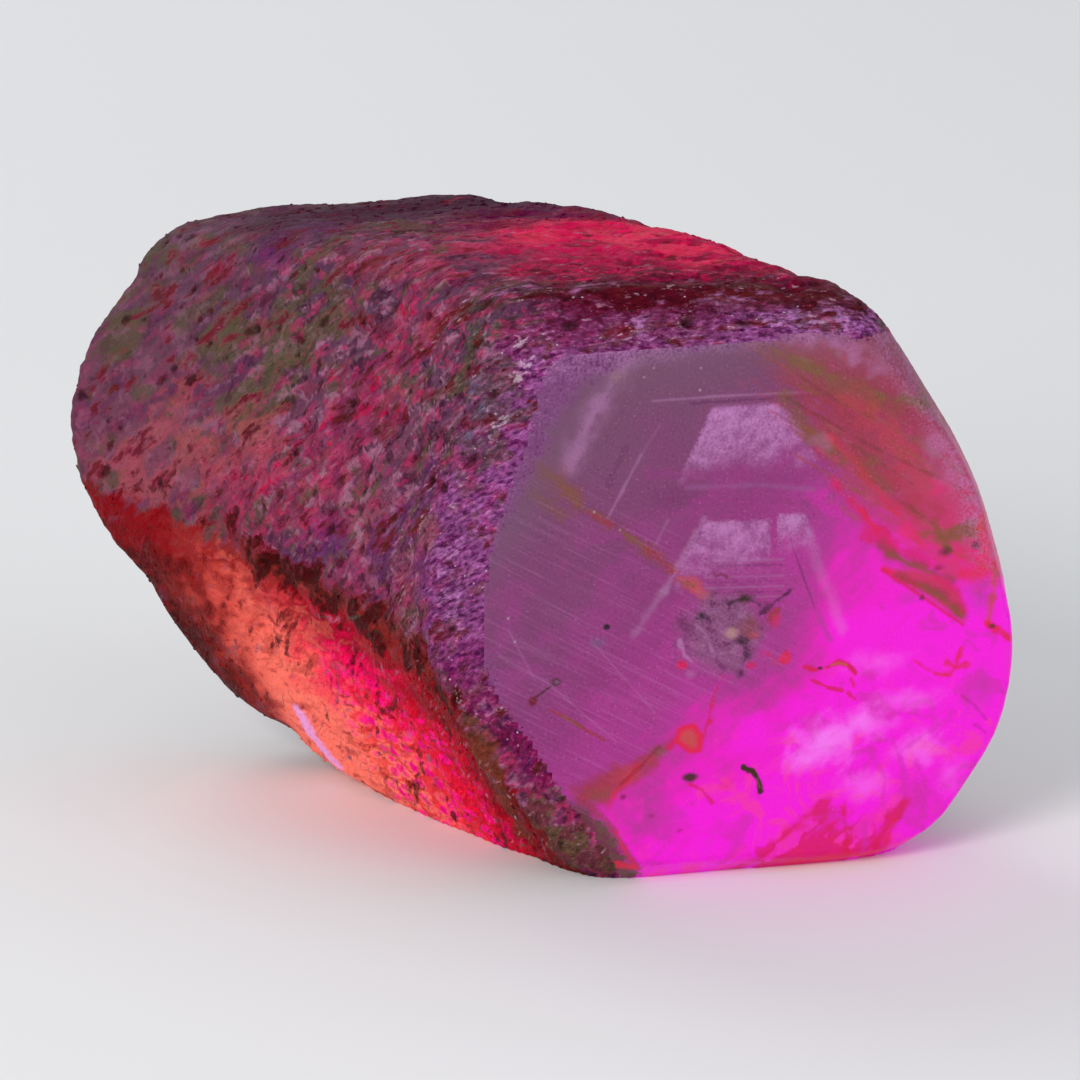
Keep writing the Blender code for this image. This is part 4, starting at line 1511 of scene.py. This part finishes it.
def paint_hook(canvas):
    """The blade-shaped hook under the orange fan."""
    canvas.stroke([(3.6, 0.5), (4.17, 0.1), (4.72, -0.15), (5.3, -0.4)], 0.4, RUST, 0.8)
    canvas.stroke([(3.8, 0.34), (4.3, 0.04), (4.8, -0.2)], 0.2, OLIVE, 0.6, grainy=0.4)
    blade = [(3.5, 0.1), (4.4, 0.02), (5.05, -0.22), (5.55, -0.6), (5.76, -1.42), (5.56, -1.54)]
    canvas.panel(blade, FAN_RED, 0.95, soft=0.2, ragged=0.05)
    canvas.stroke([(3.66, -0.02), (4.0, -0.2), (4.5, -0.48)], 0.24, ORANGE_RED, 0.9, ragged=0.3)
    canvas.stroke([(4.0, -0.2), (4.9, -0.62), (5.5, -1.15)], 0.42, RUST, 0.85, grainy=0.3)
    canvas.stroke([(4.5, -0.42), (5.0, -0.74), (5.5, -1.2)], 0.24, OLIVE, 0.6, grainy=0.3)
    canvas.stroke([(4.9, -0.3), (5.4, -0.62), (5.6, -1.1)], 0.3, CRIMSON, 0.5)
    canvas.stroke([(3.62, -0.03), (4.5, -0.66), (5.56, -1.46)], 0.14, CRIMSON, 0.8, ragged=0.3)


def paint_arms(canvas):
    """The trapiche's arms: a brown one to the left, and broken red bits to the right."""
    canvas.strokes(
        ([(-4.92, 3.42), (-4.41, 3.0), (-3.91, 2.57), (-3.45, 2.03)], 0.75, RUST_MAUVE, 0.6),
        ([(-5.1, 3.5), (-4.41, 3.0), (-3.91, 2.57), (-3.45, 2.0), (-2.98, 1.68)], 0.34, OLIVE, 0.75),
        ([(-4.83, 2.69), (-4.51, 2.34), (-4.23, 2.07), (-3.8, 1.8)], 0.4, OLIVE, 0.55),
        ([(-3.38, 1.89), (-2.61, 1.45), (-1.92, 0.91), (-1.36, 0.36)], 0.4, RUST_MAUVE, 0.7),
        ([(-3.3, 1.85), (-2.9, 1.6), (-2.61, 1.45)], 0.2, RUST, 0.8),
        ([(-2.5, 1.35), (-2.1, 1.05), (-1.9, 0.88)], 0.22, OLIVE, 0.75),
        ([(-1.9, 0.9), (-1.6, 0.65), (-1.3, 0.3)], 0.2, RUST, 0.75),
        ([(-1.15, 0.15), (-0.85, 0.0), (-0.6, -0.25)], 0.4, CORAL, 0.85),
        ([(-1.15, 0.1), (-0.85, -0.02)], 0.2, OLIVE, 0.6),
        ragged=0.8,
        grainy=1.6,
    )
    squiggle = [(-0.47, 0.17), (-0.36, 0.23), (-0.27, 0.12), (-0.16, 0.18), (-0.02, 0.08)]
    canvas.stroke(squiggle, 0.1, DARK_CRIMSON, 0.6, ragged=0.7)
    canvas.spot((1.1, -0.95), (0.22, 0.3), ORANGE_RED, 0.6, ragged=0.9)
    canvas.stroke([(0.85, -1.7), (1.1, -1.84), (1.4, -1.89)], 0.34, ORANGE_RED, 0.8, ragged=0.9)
    canvas.stroke([(1.83, -2.14), (2.06, -2.23), (2.37, -2.18)], 0.16, CRIMSON, 0.95, soft=0.9, ragged=0.7)
    worm = [(2.37, -2.18), (2.61, -2.09), (2.84, -2.18), (3.03, -2.38)]
    canvas.stroke(worm, 0.2, CRIMSON, 0.95, soft=0.8, ragged=0.5)
    canvas.stroke([(2.45, -2.15), (2.61, -2.11), (2.8, -2.17)], 0.1, CORAL, 1.0, soft=0.7, ragged=0.3)
    canvas.spot((2.18, -2.19), (0.1, 0.08), INK, 0.9, soft=0.8)
    canvas.stroke([(1.99, -2.46), (2.37, -2.65), (2.71, -2.77)], 0.1, CRIMSON, 0.85, soft=0.9, ragged=0.8)
    canvas.stroke([(2.85, -2.83), (3.02, -2.98)], 0.14, CRIMSON, 0.8, soft=0.9)
    canvas.stroke([(2.92, -2.5), (2.99, -2.66)], 0.14, CRIMSON, 0.7, soft=0.9)
    tangle = [(4.41, -2.19), (4.67, -2.4), (4.91, -2.56), (5.27, -2.61), (5.41, -2.41), (5.46, -2.21),
              (5.5, -2.0)]
    canvas.stroke(tangle, 0.2, ORANGE_RED, 0.85, soft=0.9, ragged=0.9)
    canvas.stroke([(5.2, -2.3), (5.41, -2.46), (5.75, -2.37)], 0.24, ORANGE_RED, 0.75, soft=0.9, ragged=0.9)
    canvas.stroke([(6.34, -0.1), (6.28, -0.7), (6.2, -1.4)], 0.3, CORAL_RED, 0.8, ragged=0.8)
    canvas.stroke([(6.2, -1.5), (6.5, -1.66), (6.7, -1.96)], 0.28, ORANGE_RED, 0.9, soft=0.9, ragged=0.8)
    canvas.spot((6.27, -1.55), (0.12, 0.09), DARK_OLIVE, 0.8, soft=0.8)


def paint_core(canvas):
    """The grey, grainy core with its dark spots and threads."""
    paint = canvas.paint
    if not canvas.reaches([(-0.1, -1.25)], 1.9):
        return
    fine = canvas.shared["fine"]
    away = paint.to_middle(canvas.place, (-0.15, -1.15), (1.15, 1.1))
    core = paint.rise(away + canvas.ragged * 0.35 + canvas.grit * 0.3, 1.1, 0.5)
    grain = (fine - 0.5) * 1.6 + canvas.grit * 0.5
    tone = paint.mix(CORE_DARK, GREY_PURPLE, paint.rise(grain, -0.35, 0.0))
    tone = paint.mix(tone, CORE_PALE, paint.rise(grain, 0.05, 0.4) * 0.7)
    canvas.wash(tone, core * 0.75)
    canvas.spot((0.25, -2.0), (0.4, 0.45), GREY_PURPLE, 0.7, ragged=0.8, grainy=1.2)
    canvas.spots(
        ((0.5, -1.1), (0.45, 0.42), RUST_MAUVE, 0.75),
        ((0.1, -1.2), (0.24, 0.18), CREAM, 0.75),
        ((0.62, -1.3), (0.2, 0.12), CORAL, 0.5),
        ((0.4, -0.42), (0.26, 0.19), DARK_OLIVE, 0.95),
        ((-0.62, -0.75), (0.18, 0.17), INK, 0.85),
        ((0.35, -1.42), (0.24, 0.14), INK, 0.75),
        ((0.45, -1.72), (0.2, 0.22), INK, 0.6),
        ((0.3, -2.15), (0.16, 0.2), CORE_DARK, 0.6),
        ((-0.9, -1.0), (0.25, 0.3), CORE_DARK, 0.4),
        soft=0.9,
        ragged=0.8,
        grainy=0.4,
    )
    canvas.strokes(
        ([(-1.12, -1.27), (-1.02, -1.62), (-0.83, -1.8)], 0.14, WINDOW_LIGHT, 0.5),
        ([(-0.75, -0.95), (-0.5, -1.2), (-0.35, -1.6)], 0.14, WINDOW_LIGHT, 0.4),
        ([(0.05, -0.5), (0.4, -0.42), (0.75, -0.6)], 0.12, INK, 0.5),
        ([(1.46, -0.34), (1.11, -0.57), (0.72, -0.85)], 0.2, CORE_DARK, 0.8),
        ([(1.4, -0.38), (1.2, -0.52)], 0.1, INK, 0.6),
        ([(0.3, -1.3), (0.45, -1.75), (0.3, -2.2)], 0.14, CORE_DARK, 0.6),
        ([(1.15, -0.78), (0.94, -0.98)], 0.24, RUST, 0.8),
        ragged=1.0,
        grainy=0.3,
    )
    canvas.spot((-1.07, -1.85), (0.18, 0.16), CRIMSON, 0.95, soft=0.8)
    canvas.spot((-0.88, -2.08), (0.2, 0.15), WINDOW_PALE, 0.5)
    canvas.spot((0.55, -2.0), (0.2, 0.14), CRIMSON, 0.85)


def paint_inclusions(canvas):
    """Small things enclosed in the window: the key, the needle, dots, the rust vein and its clod."""
    canvas.spot((-4.0, -2.0), (0.18, 0.15), DARK_OLIVE, 0.8, soft=0.7, ragged=0.3)
    canvas.spot((-3.98, -2.0), (0.09, 0.07), GREY_PURPLE, 0.8, soft=0.9)
    canvas.stroke([(-4.13, -2.1), (-4.48, -2.32)], 0.08, DARK_OLIVE, 0.85, soft=0.8, ragged=0.2)
    canvas.spot((-4.53, -2.4), (0.14, 0.15), DARK_CRIMSON, 0.95, soft=0.6, ragged=0.4)
    needle = [(-4.18, -2.61), (-3.67, -2.9), (-3.25, -3.2), (-2.86, -3.44)]
    canvas.stroke(needle, 0.12, RUST, 0.9, soft=0.9, ragged=0.5)
    canvas.stroke([(-3.85, -2.8), (-3.4, -3.1)], 0.08, OLIVE, 0.7, soft=0.9)
    canvas.spot((-2.82, -0.83), (0.1, 0.09), INK, 0.95, soft=0.7, ragged=0.3)
    canvas.spot((-3.05, -1.18), (0.28, 0.22), TEAL, 0.6)
    band = [(-3.8, -4.4), (-1.2, -3.38), (-1.12, -3.75), (-2.05, -4.6), (-2.8, -5.1), (-3.5, -4.95)]
    canvas.panel(band, RUST, 0.9, soft=0.3, ragged=0.25, grainy=0.4)
    canvas.panel(band, CORAL_RED, 0.45, soft=0.7, ragged=0.5, grainy=0.4)
    canvas.spots(
        ((-2.3, -4.3), (0.5, 0.3), CORAL_RED, 0.6),
        ((-3.0, -4.7), (0.5, 0.25), OLIVE, 0.45),
        ((-1.62, -3.8), (0.3, 0.2), OLIVE, 0.55),
        ragged=0.9,
        grainy=1.0,
    )
    thread = [(-2.04, -4.06), (-2.32, -4.41), (-2.62, -4.66), (-2.78, -5.02)]
    canvas.stroke(thread, 0.16, ORANGE_RED, 0.5, ragged=0.9)
    canvas.stroke([(-1.6, -3.7), (-2.0, -4.1), (-2.5, -4.5)], 0.14, DARK_CRIMSON, 0.4, ragged=0.9)
    canvas.stroke([(-1.24, -3.6), (-1.35, -3.72)], 0.2, CRIMSON, 0.8, soft=0.9)
    clod = [(-1.2, -3.24), (-0.75, -3.14), (-0.5, -3.5), (-0.56, -3.95), (-0.9, -3.98), (-1.3, -3.66)]
    canvas.panel(clod, ORANGE_RED, 0.9, soft=0.1, ragged=0.06, grainy=0.1)
    inner = [(-1.12, -3.34), (-0.8, -3.25), (-0.62, -3.52), (-0.66, -3.84), (-0.88, -3.86), (-1.18, -3.62)]
    canvas.panel(inner, CORAL, 0.95, soft=0.16, ragged=0.06, grainy=0.1)
    tail = [(-0.56, -3.59), (-0.45, -3.23), (-0.36, -2.77), (-0.22, -2.41), (-0.08, -2.19)]
    canvas.stroke(tail, 0.13, CRIMSON, 0.75, ragged=0.9)
    canvas.spot((-0.4, -3.2), (0.13, 0.1), CRIMSON, 0.8, soft=0.9)
    canvas.spot((-0.88, -4.48), (0.26, 0.15), DARK_OLIVE, 0.95, soft=0.7)
    canvas.stroke([(-0.86, -4.64), (-0.6, -4.78), (-0.34, -5.1)], 0.16, CRIMSON, 0.8)
    comma = [(0.4, -4.37), (0.62, -4.46), (0.76, -4.7), (0.79, -4.94)]
    canvas.stroke(comma, 0.2, DARK_OLIVE, 1.0, soft=0.7)
    canvas.stroke([(0.72, -4.64), (0.78, -4.86)], 0.08, GREEN_OLIVE, 0.6, soft=0.9)
    canvas.spot((0.0, -4.7), (0.24, 0.2), CRIMSON, 0.7)
    canvas.stroke([(-0.06, -4.63), (0.31, -4.99), (0.79, -5.5)], 0.34, WARM_PINK, 0.75, ragged=0.7)
    canvas.spots(
        ((-2.43, -4.8), 0.1, DARK_CRIMSON, 0.75),
        ((-1.1, -5.7), (0.12, 0.08), DARK_CRIMSON, 0.5),
        ((-1.75, -5.3), (0.12, 0.08), DARK_CRIMSON, 0.4),
        ((4.58, -0.76), 0.1, DARK_OLIVE, 0.75),
        soft=0.9,
    )
    for speck in ((-0.75, 5.56), (-1.75, 5.0), (-1.98, 4.81), (-0.66, 4.92), (-0.68, 4.42), (-2.52, 1.37),
                  (-3.12, 1.83), (-5.1, -0.45), (-4.95, -1.0)):
        canvas.spot(speck, 0.05, SPECK_WHITE, 0.4, ragged=0.4)


def paint_foot(canvas):
    """The window's foot: a rough brown patch on the left, and crimson flames on the right."""
    paint = canvas.paint
    if not canvas.reaches([(-5.5, -4.4), (6.3, -7.0)], 0.4):
        return
    x, z, fine, brush = (canvas.shared[name] for name in ("across", "height", "fine", "brush"))
    rising, falling = (x * slope - z - start for slope, start in (RISING_FLAMES, FALLING_FLAMES))
    stray = (brush - 0.5) * 1.1 + (fine - 0.5) * 0.9 + canvas.ragged * 0.2
    flame = paint.rise(paint.least(rising, falling) + stray, -0.15, 0.5) * paint.rise(x, 4.4, 3.4)
    gaps = paint.rise(brush + (fine - 0.5) * 0.8 + canvas.ragged * 0.15, 0.52, 0.7)
    canvas.wash(CRIMSON, flame * (0.85 - gaps * 0.6))
    canvas.wash(WARM_PINK, flame * gaps * 0.35)
    canvas.strokes(
        ([(0.9, -6.4), (1.6, -5.85), (2.45, -5.3)], 0.4, CRIMSON, 0.8),
        ([(2.74, -5.5), (2.84, -6.1), (2.88, -6.8)], 0.3, CRIMSON, 0.8),
        ([(3.4, -6.7), (3.75, -6.1), (4.2, -5.5)], 0.4, CRIMSON, 0.85),
        ([(3.3, -5.9), (3.25, -6.6)], 0.3, ROSE, 0.6),
        ([(1.6, -6.75), (3.8, -6.65)], 0.3, ORANGE_RED, 0.6),
        ([(3.8, -6.4), (4.0, -5.95)], 0.2, ORANGE_RED, 0.8),
        ([(5.57, -3.13), (5.86, -3.36), (6.15, -3.72)], 0.12, DARK_CRIMSON, 0.3),
        ([(5.89, -3.84), (6.16, -4.05)], 0.14, DARK_CRIMSON, 0.3),
        ragged=0.8,
    )
    patch = canvas.inside([(-5.5, -4.4), (-3.9, -4.65), (-3.16, -5.0), (-2.75, -5.4), (-2.35, -6.03),
                           (-1.85, -6.8), (-2.4, -7.2), (-5.5, -7.2)])
    patch = paint.rise(patch + canvas.ragged * 0.2 + canvas.grit * 0.4, -0.05, 0.2)
    tone = paint.mix(PATCH_BROWN, PATCH_OLIVE, paint.rise(fine + canvas.ragged * 0.2, 0.42, 0.62))
    canvas.wash(tone, patch * 0.95)
    canvas.wash(DARK_OLIVE, patch * paint.rise(fine, 0.55, 0.75) * 0.5)
    canvas.strokes(
        ([(-3.5, -4.75), (-2.85, -5.25), (-2.45, -5.9), (-2.0, -6.6)], 0.3, RUST, 0.75),
        ([(-2.6, -5.6), (-2.3, -6.2), (-2.0, -6.6)], 0.16, ORANGE_RED, 0.6),
        ([(-2.5, -6.45), (-2.1, -6.55)], 0.28, ORANGE_RED, 0.8),
        ragged=0.6,
        grainy=0.6,
    )
    canvas.spot((-4.25, -4.91), (0.24, 0.2), INK, 0.85, soft=0.9, grainy=0.8)


def paint_scratches(canvas, marks, dull):
    """Faint scratches below the left arm, and a grain with pale and dark specks, fading in the glow."""
    paint = canvas.paint
    x, z, cloud = (canvas.shared[name] for name in ("across", "height", "cloud"))
    scratched = dull * paint.rise(x * 0.75 + z + cloud * 6.0, 4.8, 1.8)
    canvas.wash(WINDOW_LIGHT, paint.rise(marks, 0.55, 1.0) * scratched * 0.15)
    canvas.wash(WINDOW_DEEP, paint.rise(marks, 0.45, 0.0) * scratched * 0.16)
    for points in (
        [(-5.3, -1.3), (-4.2, -2.0), (-2.6, -3.5)],
        [(-5.1, -0.7), (-4.6, -1.7), (-4.5, -1.9)],
        [(-3.2, -1.1), (-1.7, -2.9)],
    ):
        canvas.stroke(points, 0.08, WINDOW_LIGHT, 0.16, ragged=0.4, grainy=1.0)
    canvas.wash(WINDOW_LIGHT, paint.rise(canvas.grit, 0.12, 0.24) * dull * 0.3)
    canvas.wash(WINDOW_DEEP, paint.rise(canvas.grit, -0.12, -0.22) * dull * 0.45)
    canvas.colour = paint.mix(canvas.colour, 1 + canvas.grit * (0.12 + dull * 0.5), 1.0, blend="MULTIPLY")


def paint_frost(canvas):
    """Frosts the rim where the rough skin begins. Returns how much, or None away from the rim."""
    paint = canvas.paint
    left, right, _, high = canvas.square
    within = left > COLUMN_EDGES[1] and high < ROW_EDGES[-1]
    if within and right < COLUMN_EDGES[-1]:
        return None
    x, z, cloud, fine = (canvas.shared[name] for name in ("across", "height", "cloud", "fine"))
    grain = (fine - 0.5) * 1.1 + canvas.grit * 1.6
    depth = canvas.inside(WINDOW_OUTLINE) + (cloud - 0.5) * 1.2 + grain * 0.4
    canvas.wash(HAZE, paint.rise(depth, 1.4, 0.2) * paint.rise(z - x * 0.7, 3.0, 6.0) * 0.45)
    frost = paint.rise(depth, 0.4, -0.05)
    grains = paint.mix(BEVEL_DEEP, BEVEL_PURPLE, paint.rise(grain, -0.5, -0.05))
    grains = paint.mix(grains, BEVEL_LIGHT, paint.rise(grain, 0.0, 0.5) * 0.7)
    canvas.wash(grains, frost * 0.85)
    rim = canvas.inside(UPPER_RIM) + canvas.ragged * 0.25
    lilac = paint.rise(rim, 0.7, 0.0) * paint.rise(grain, -0.3, 0.4) * paint.rise(z, -1.0, 0.6)
    canvas.wash(FROST_LILAC, lilac * 0.6)
    return frost


LAYERS = {
    "glow": paint_glow,
    "zoning": paint_zoning,
    "tiles": paint_tiles,
    "orange fan": paint_orange_fan,
    "hook": paint_hook,
    "arms": paint_arms,
    "core": paint_core,
    "inclusions": paint_inclusions,
    "foot": paint_foot,
}


def window_material(name, square):
    """One square of the ground window: zoning, arms, inclusions and scratches on mauve and magenta."""
    paint = Paint(name)
    bend = paint.noise(paint.place_in_mm(), BEND_SIZE, detail=1.0, shift=50.0)
    flat = paint.vector("MULTIPLY", paint.place_in_mm(), (1, 0, 1))
    x, _, z = paint.parts(flat)
    cloud = paint.noise(flat, CLOUD_SIZE, detail=4.0, roughness=0.62, distortion=0.5)
    fine = paint.noise(flat, FINE_SIZE, detail=3.0, roughness=0.65, shift=4.0)
    grit = paint.noise(flat, GRIT_SIZE, detail=2.0, roughness=0.7, shift=90.0) - 0.5
    ragged = (bend - 0.5) * 1.4 + (fine - 0.5) * 1.2
    hairs = scratches(paint, flat, FAN_HAIRS, 0.16, 1.9, 8.0, 0.25, 0.75)
    brush = scratches(paint, flat, BRUSH_MARKS, 0.45, 1.6, 3.0, 0.25, 0.75)
    marks = scratches(paint, flat, SCRATCH_MARKS, 0.06, 2.2, 11.0, 0.2, 0.8)

    colour, glow_level = paint_ground(paint, flat, x, z, cloud, fine, brush)
    canvas = Canvas(
        paint,
        colour,
        square,
        place=flat,
        ragged=ragged,
        grit=grit,
        across=x,
        height=z,
        cloud=cloud,
        fine=fine,
        hairs=hairs,
        brush=brush,
        glow_level=glow_level,
    )
    for layer, strokes in LAYERS.items():
        canvas.layer(layer, strokes)
    paint_scratches(canvas, marks, paint.rise(glow_level, 1.2, -1.0))
    frost = paint_frost(canvas)
    # Painted glow: the window shines by emission where it turns magenta.
    lit = paint.rise(glow_level, -0.4, 1.4)
    roughness = 0.3 + fine * 0.2
    if frost is None:
        return paint.finish(canvas.colour, lit, roughness, grit * GRIT_BUMP, WINDOW_DEPTH, WINDOW_GLOSS)
    lit = lit * (1 - frost)
    bumps = grit * (GRIT_BUMP + frost * FROST_BUMP)
    return paint.finish(canvas.colour, lit, roughness + frost * 0.15, bumps, WINDOW_DEPTH, WINDOW_GLOSS)


# --- Crystallites ---------------------------------------------------------------------------------

# How far each may turn from the growth line in radians, two ways over and once round itself.
CRYSTALLITE_LEAN = (0.3, 0.3, 3.1)

# How much thicker, wider and longer than the setting each may be.
THICKNESS_SPREAD, WIDTH_SPREAD, LENGTH_SPREAD = (0.5, 1.3), (0.4, 1.0), (0.35, 1.2)

# Each of the two kinds, with the attribute that shows where it grows.
CRYSTALLITES = {
    "shards": {"Where": "skin", "Density": 4.0, "Length": 0.22, "Width": 0.06, "Seed": 3},
    "bevel_grains": {"Where": "sugar", "Density": 95.0, "Length": 0.07, "Width": 0.055, "Seed": 9},
}


class Growth(Nodes):
    """A Geometry Nodes tree."""

    def __init__(self, name):
        super().__init__(bpy.data.node_groups.new(name, "GeometryNodeTree"))

    def random(self, low, high, seed, kind="FLOAT"):
        """A random number between two others, or a vector of three."""
        made = self.node("FunctionNodeRandomValue", {"data_type": kind})
        named = {"FLOAT": (2, 3, 1), "FLOAT_VECTOR": (0, 1, 0)}[kind]
        made.inputs[named[0]].default_value = low
        made.inputs[named[1]].default_value = high
        self.tree.links.new(seed.socket, made.inputs["Seed"])
        return self.output(made, named[2])

    def named(self, name, kind="FLOAT"):
        """The attribute with this name."""
        made = self.node("GeometryNodeInputNamedAttribute", {"data_type": kind}, {"Name": name})
        return self.output(made, "Attribute")


def crystallite_tree():
    """Strews small pointed crystals over a surface, laid along its growth lines."""
    grow = Growth("crystallites")
    surface, where, density, length, width, seed, finish = grow.inputs(
        Surface="NodeSocketGeometry",
        Where="NodeSocketString",
        Density="NodeSocketFloat",
        Length="NodeSocketFloat",
        Width="NodeSocketFloat",
        Seed="NodeSocketInt",
        Finish="NodeSocketMaterial",
    )
    shown = grow.named(where)
    strewn = grow.node(
        "GeometryNodeDistributePointsOnFaces",
        {"distribute_method": "RANDOM"},
        {"Mesh": surface, "Density": density * shown, "Seed": seed},
    )
    points = grow.output(strewn, "Points")
    along = grow.node(
        "FunctionNodeAlignRotationToVector",
        {"axis": "Z"},
        {"Vector": grow.named("growth", "FLOAT_VECTOR")},
    )
    back = tuple(-angle for angle in CRYSTALLITE_LEAN)
    turn = grow.random(back, CRYSTALLITE_LEAN, seed, "FLOAT_VECTOR")
    turned = grow.node(
        "FunctionNodeRotateRotation",
        {"rotation_space": "LOCAL"},
        {"Rotation": grow.output(along), "Rotate By": turn},
    )
    thin = width * grow.random(*THICKNESS_SPREAD, seed + 1)
    flat = width * grow.random(*WIDTH_SPREAD, seed + 2)
    long = length * grow.random(*LENGTH_SPREAD, seed + 3)
    shape = grow.node("GeometryNodeMeshUVSphere", {}, {"Segments": 5, "Rings": 3, "Radius": 0.5})
    strewn_shapes = grow.node(
        "GeometryNodeInstanceOnPoints",
        {},
        {
            "Points": points,
            "Instance": grow.output(shape, "Mesh"),
            "Rotation": grow.output(turned),
            "Scale": grow.join(thin, flat, long),
        },
    )
    tinted = grow.node(
        "GeometryNodeStoreNamedAttribute",
        {"data_type": "FLOAT", "domain": "INSTANCE"},
        {"Geometry": grow.output(strewn_shapes), "Name": "tint", "Value": grow.random(0.0, 1.0, seed + 4)},
    )
    real = grow.node("GeometryNodeRealizeInstances", {}, {"Geometry": grow.output(tinted)})
    smooth = grow.node(
        "GeometryNodeSetShadeSmooth",
        {},
        {"Geometry": grow.output(real), "Shade Smooth": True},
    )
    finished = grow.node(
        "GeometryNodeSetMaterial",
        {},
        {"Geometry": grow.output(smooth), "Material": finish},
    )
    return grow.result("Crystallites", "NodeSocketGeometry", grow.output(finished))


def strew(tree, name, crystal, settings):
    """A piece of its own with the crystallites that the tree strews over the crystal."""
    piece = bpy.data.objects.new(name, crystal.data.copy())
    bpy.context.scene.collection.objects.link(piece)
    modifier = piece.modifiers.new("crystallites", "NODES")
    modifier.node_group = tree
    for item in tree.interface.items_tree:
        if item.in_out == "INPUT" and item.name in settings:
            modifier[item.identifier] = settings[item.name]
    flatten(piece)
    return piece


# --- Stage ----------------------------------------------------------------------------------------

FLOOR_SIZE = 3.0
FLOOR_GAP = 0.00002
FLOOR_GREY = (0.8, 0.8, 0.81, 1)
FLOOR_ROUGHNESS = 0.7
SKY_COLOUR, SKY_STRENGTH = (0.9, 0.92, 0.95, 1), 0.55
LIGHTS_AIM = (0, 0, 0.007)


def lay_floor():
    """A wide pale floor just under the crystal."""
    mesh = bmesh.new()
    bmesh.ops.create_grid(mesh, x_segments=1, y_segments=1, size=FLOOR_SIZE / 2)
    bmesh.ops.translate(mesh, verts=mesh.verts, vec=(0, 0, -FLOOR_GAP))
    data = bpy.data.meshes.new("floor")
    mesh.to_mesh(data)
    mesh.free()
    paint = Paint("pale floor")
    finish = {"Base Color": FLOOR_GREY, "Roughness": FLOOR_ROUGHNESS}
    shader = paint.node("ShaderNodeBsdfPrincipled", {}, finish)
    end = paint.node("ShaderNodeOutputMaterial")
    paint.tree.links.new(shader.outputs[0], end.inputs[0])
    data.materials.append(paint.material)
    floor = bpy.data.objects.new("floor", data)
    bpy.context.scene.collection.objects.link(floor)


def hang_light(name, spot, size, power, tint):
    """A round light that hangs at the spot and shines on the crystal."""
    lamp = bpy.data.lights.new(name, "AREA")
    lamp.shape = "DISK"
    lamp.size = size
    lamp.energy = power
    lamp.color = tint
    light = bpy.data.objects.new(name, lamp)
    light.location = spot
    light.rotation_euler = (Vector(LIGHTS_AIM) - Vector(spot)).to_track_quat("-Z", "Y").to_euler()
    bpy.context.scene.collection.objects.link(light)


def light_stage():
    """Three soft lights and a pale sky."""
    hang_light("key light", (-0.17, -0.17, 0.13), size=0.12, power=0.44, tint=(1, 0.985, 0.96))
    hang_light("fill light", (0.16, -0.22, 0.08), size=0.18, power=0.2, tint=(0.94, 0.96, 1))
    hang_light("back light", (-0.06, 0.2, 0.16), size=0.16, power=0.17, tint=(1, 1, 1))
    world = bpy.data.worlds.new("studio")
    world.use_nodes = True
    background = world.node_tree.nodes["Background"]
    background.inputs["Color"].default_value = SKY_COLOUR
    background.inputs["Strength"].default_value = SKY_STRENGTH
    bpy.context.scene.world = world
    bpy.context.scene.view_settings.view_transform = "Standard"


# --- Building -------------------------------------------------------------------------------------

place_camera()
skin = skin_material("rough skin")
windows = [window_material(f"ground window {number + 1}", square) for number, square in enumerate(SQUARES)]
crystal = make_body(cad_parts["sapphire"], skin, windows)
tree = crystallite_tree()
strewn = [strew(tree, name, crystal, {**kind, "Finish": skin}) for name, kind in CRYSTALLITES.items()]
for piece in (crystal, *strewn):
    in_the_frame(piece.data)
    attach(piece, "root")
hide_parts("sapphire")
lay_floor()
light_stage()
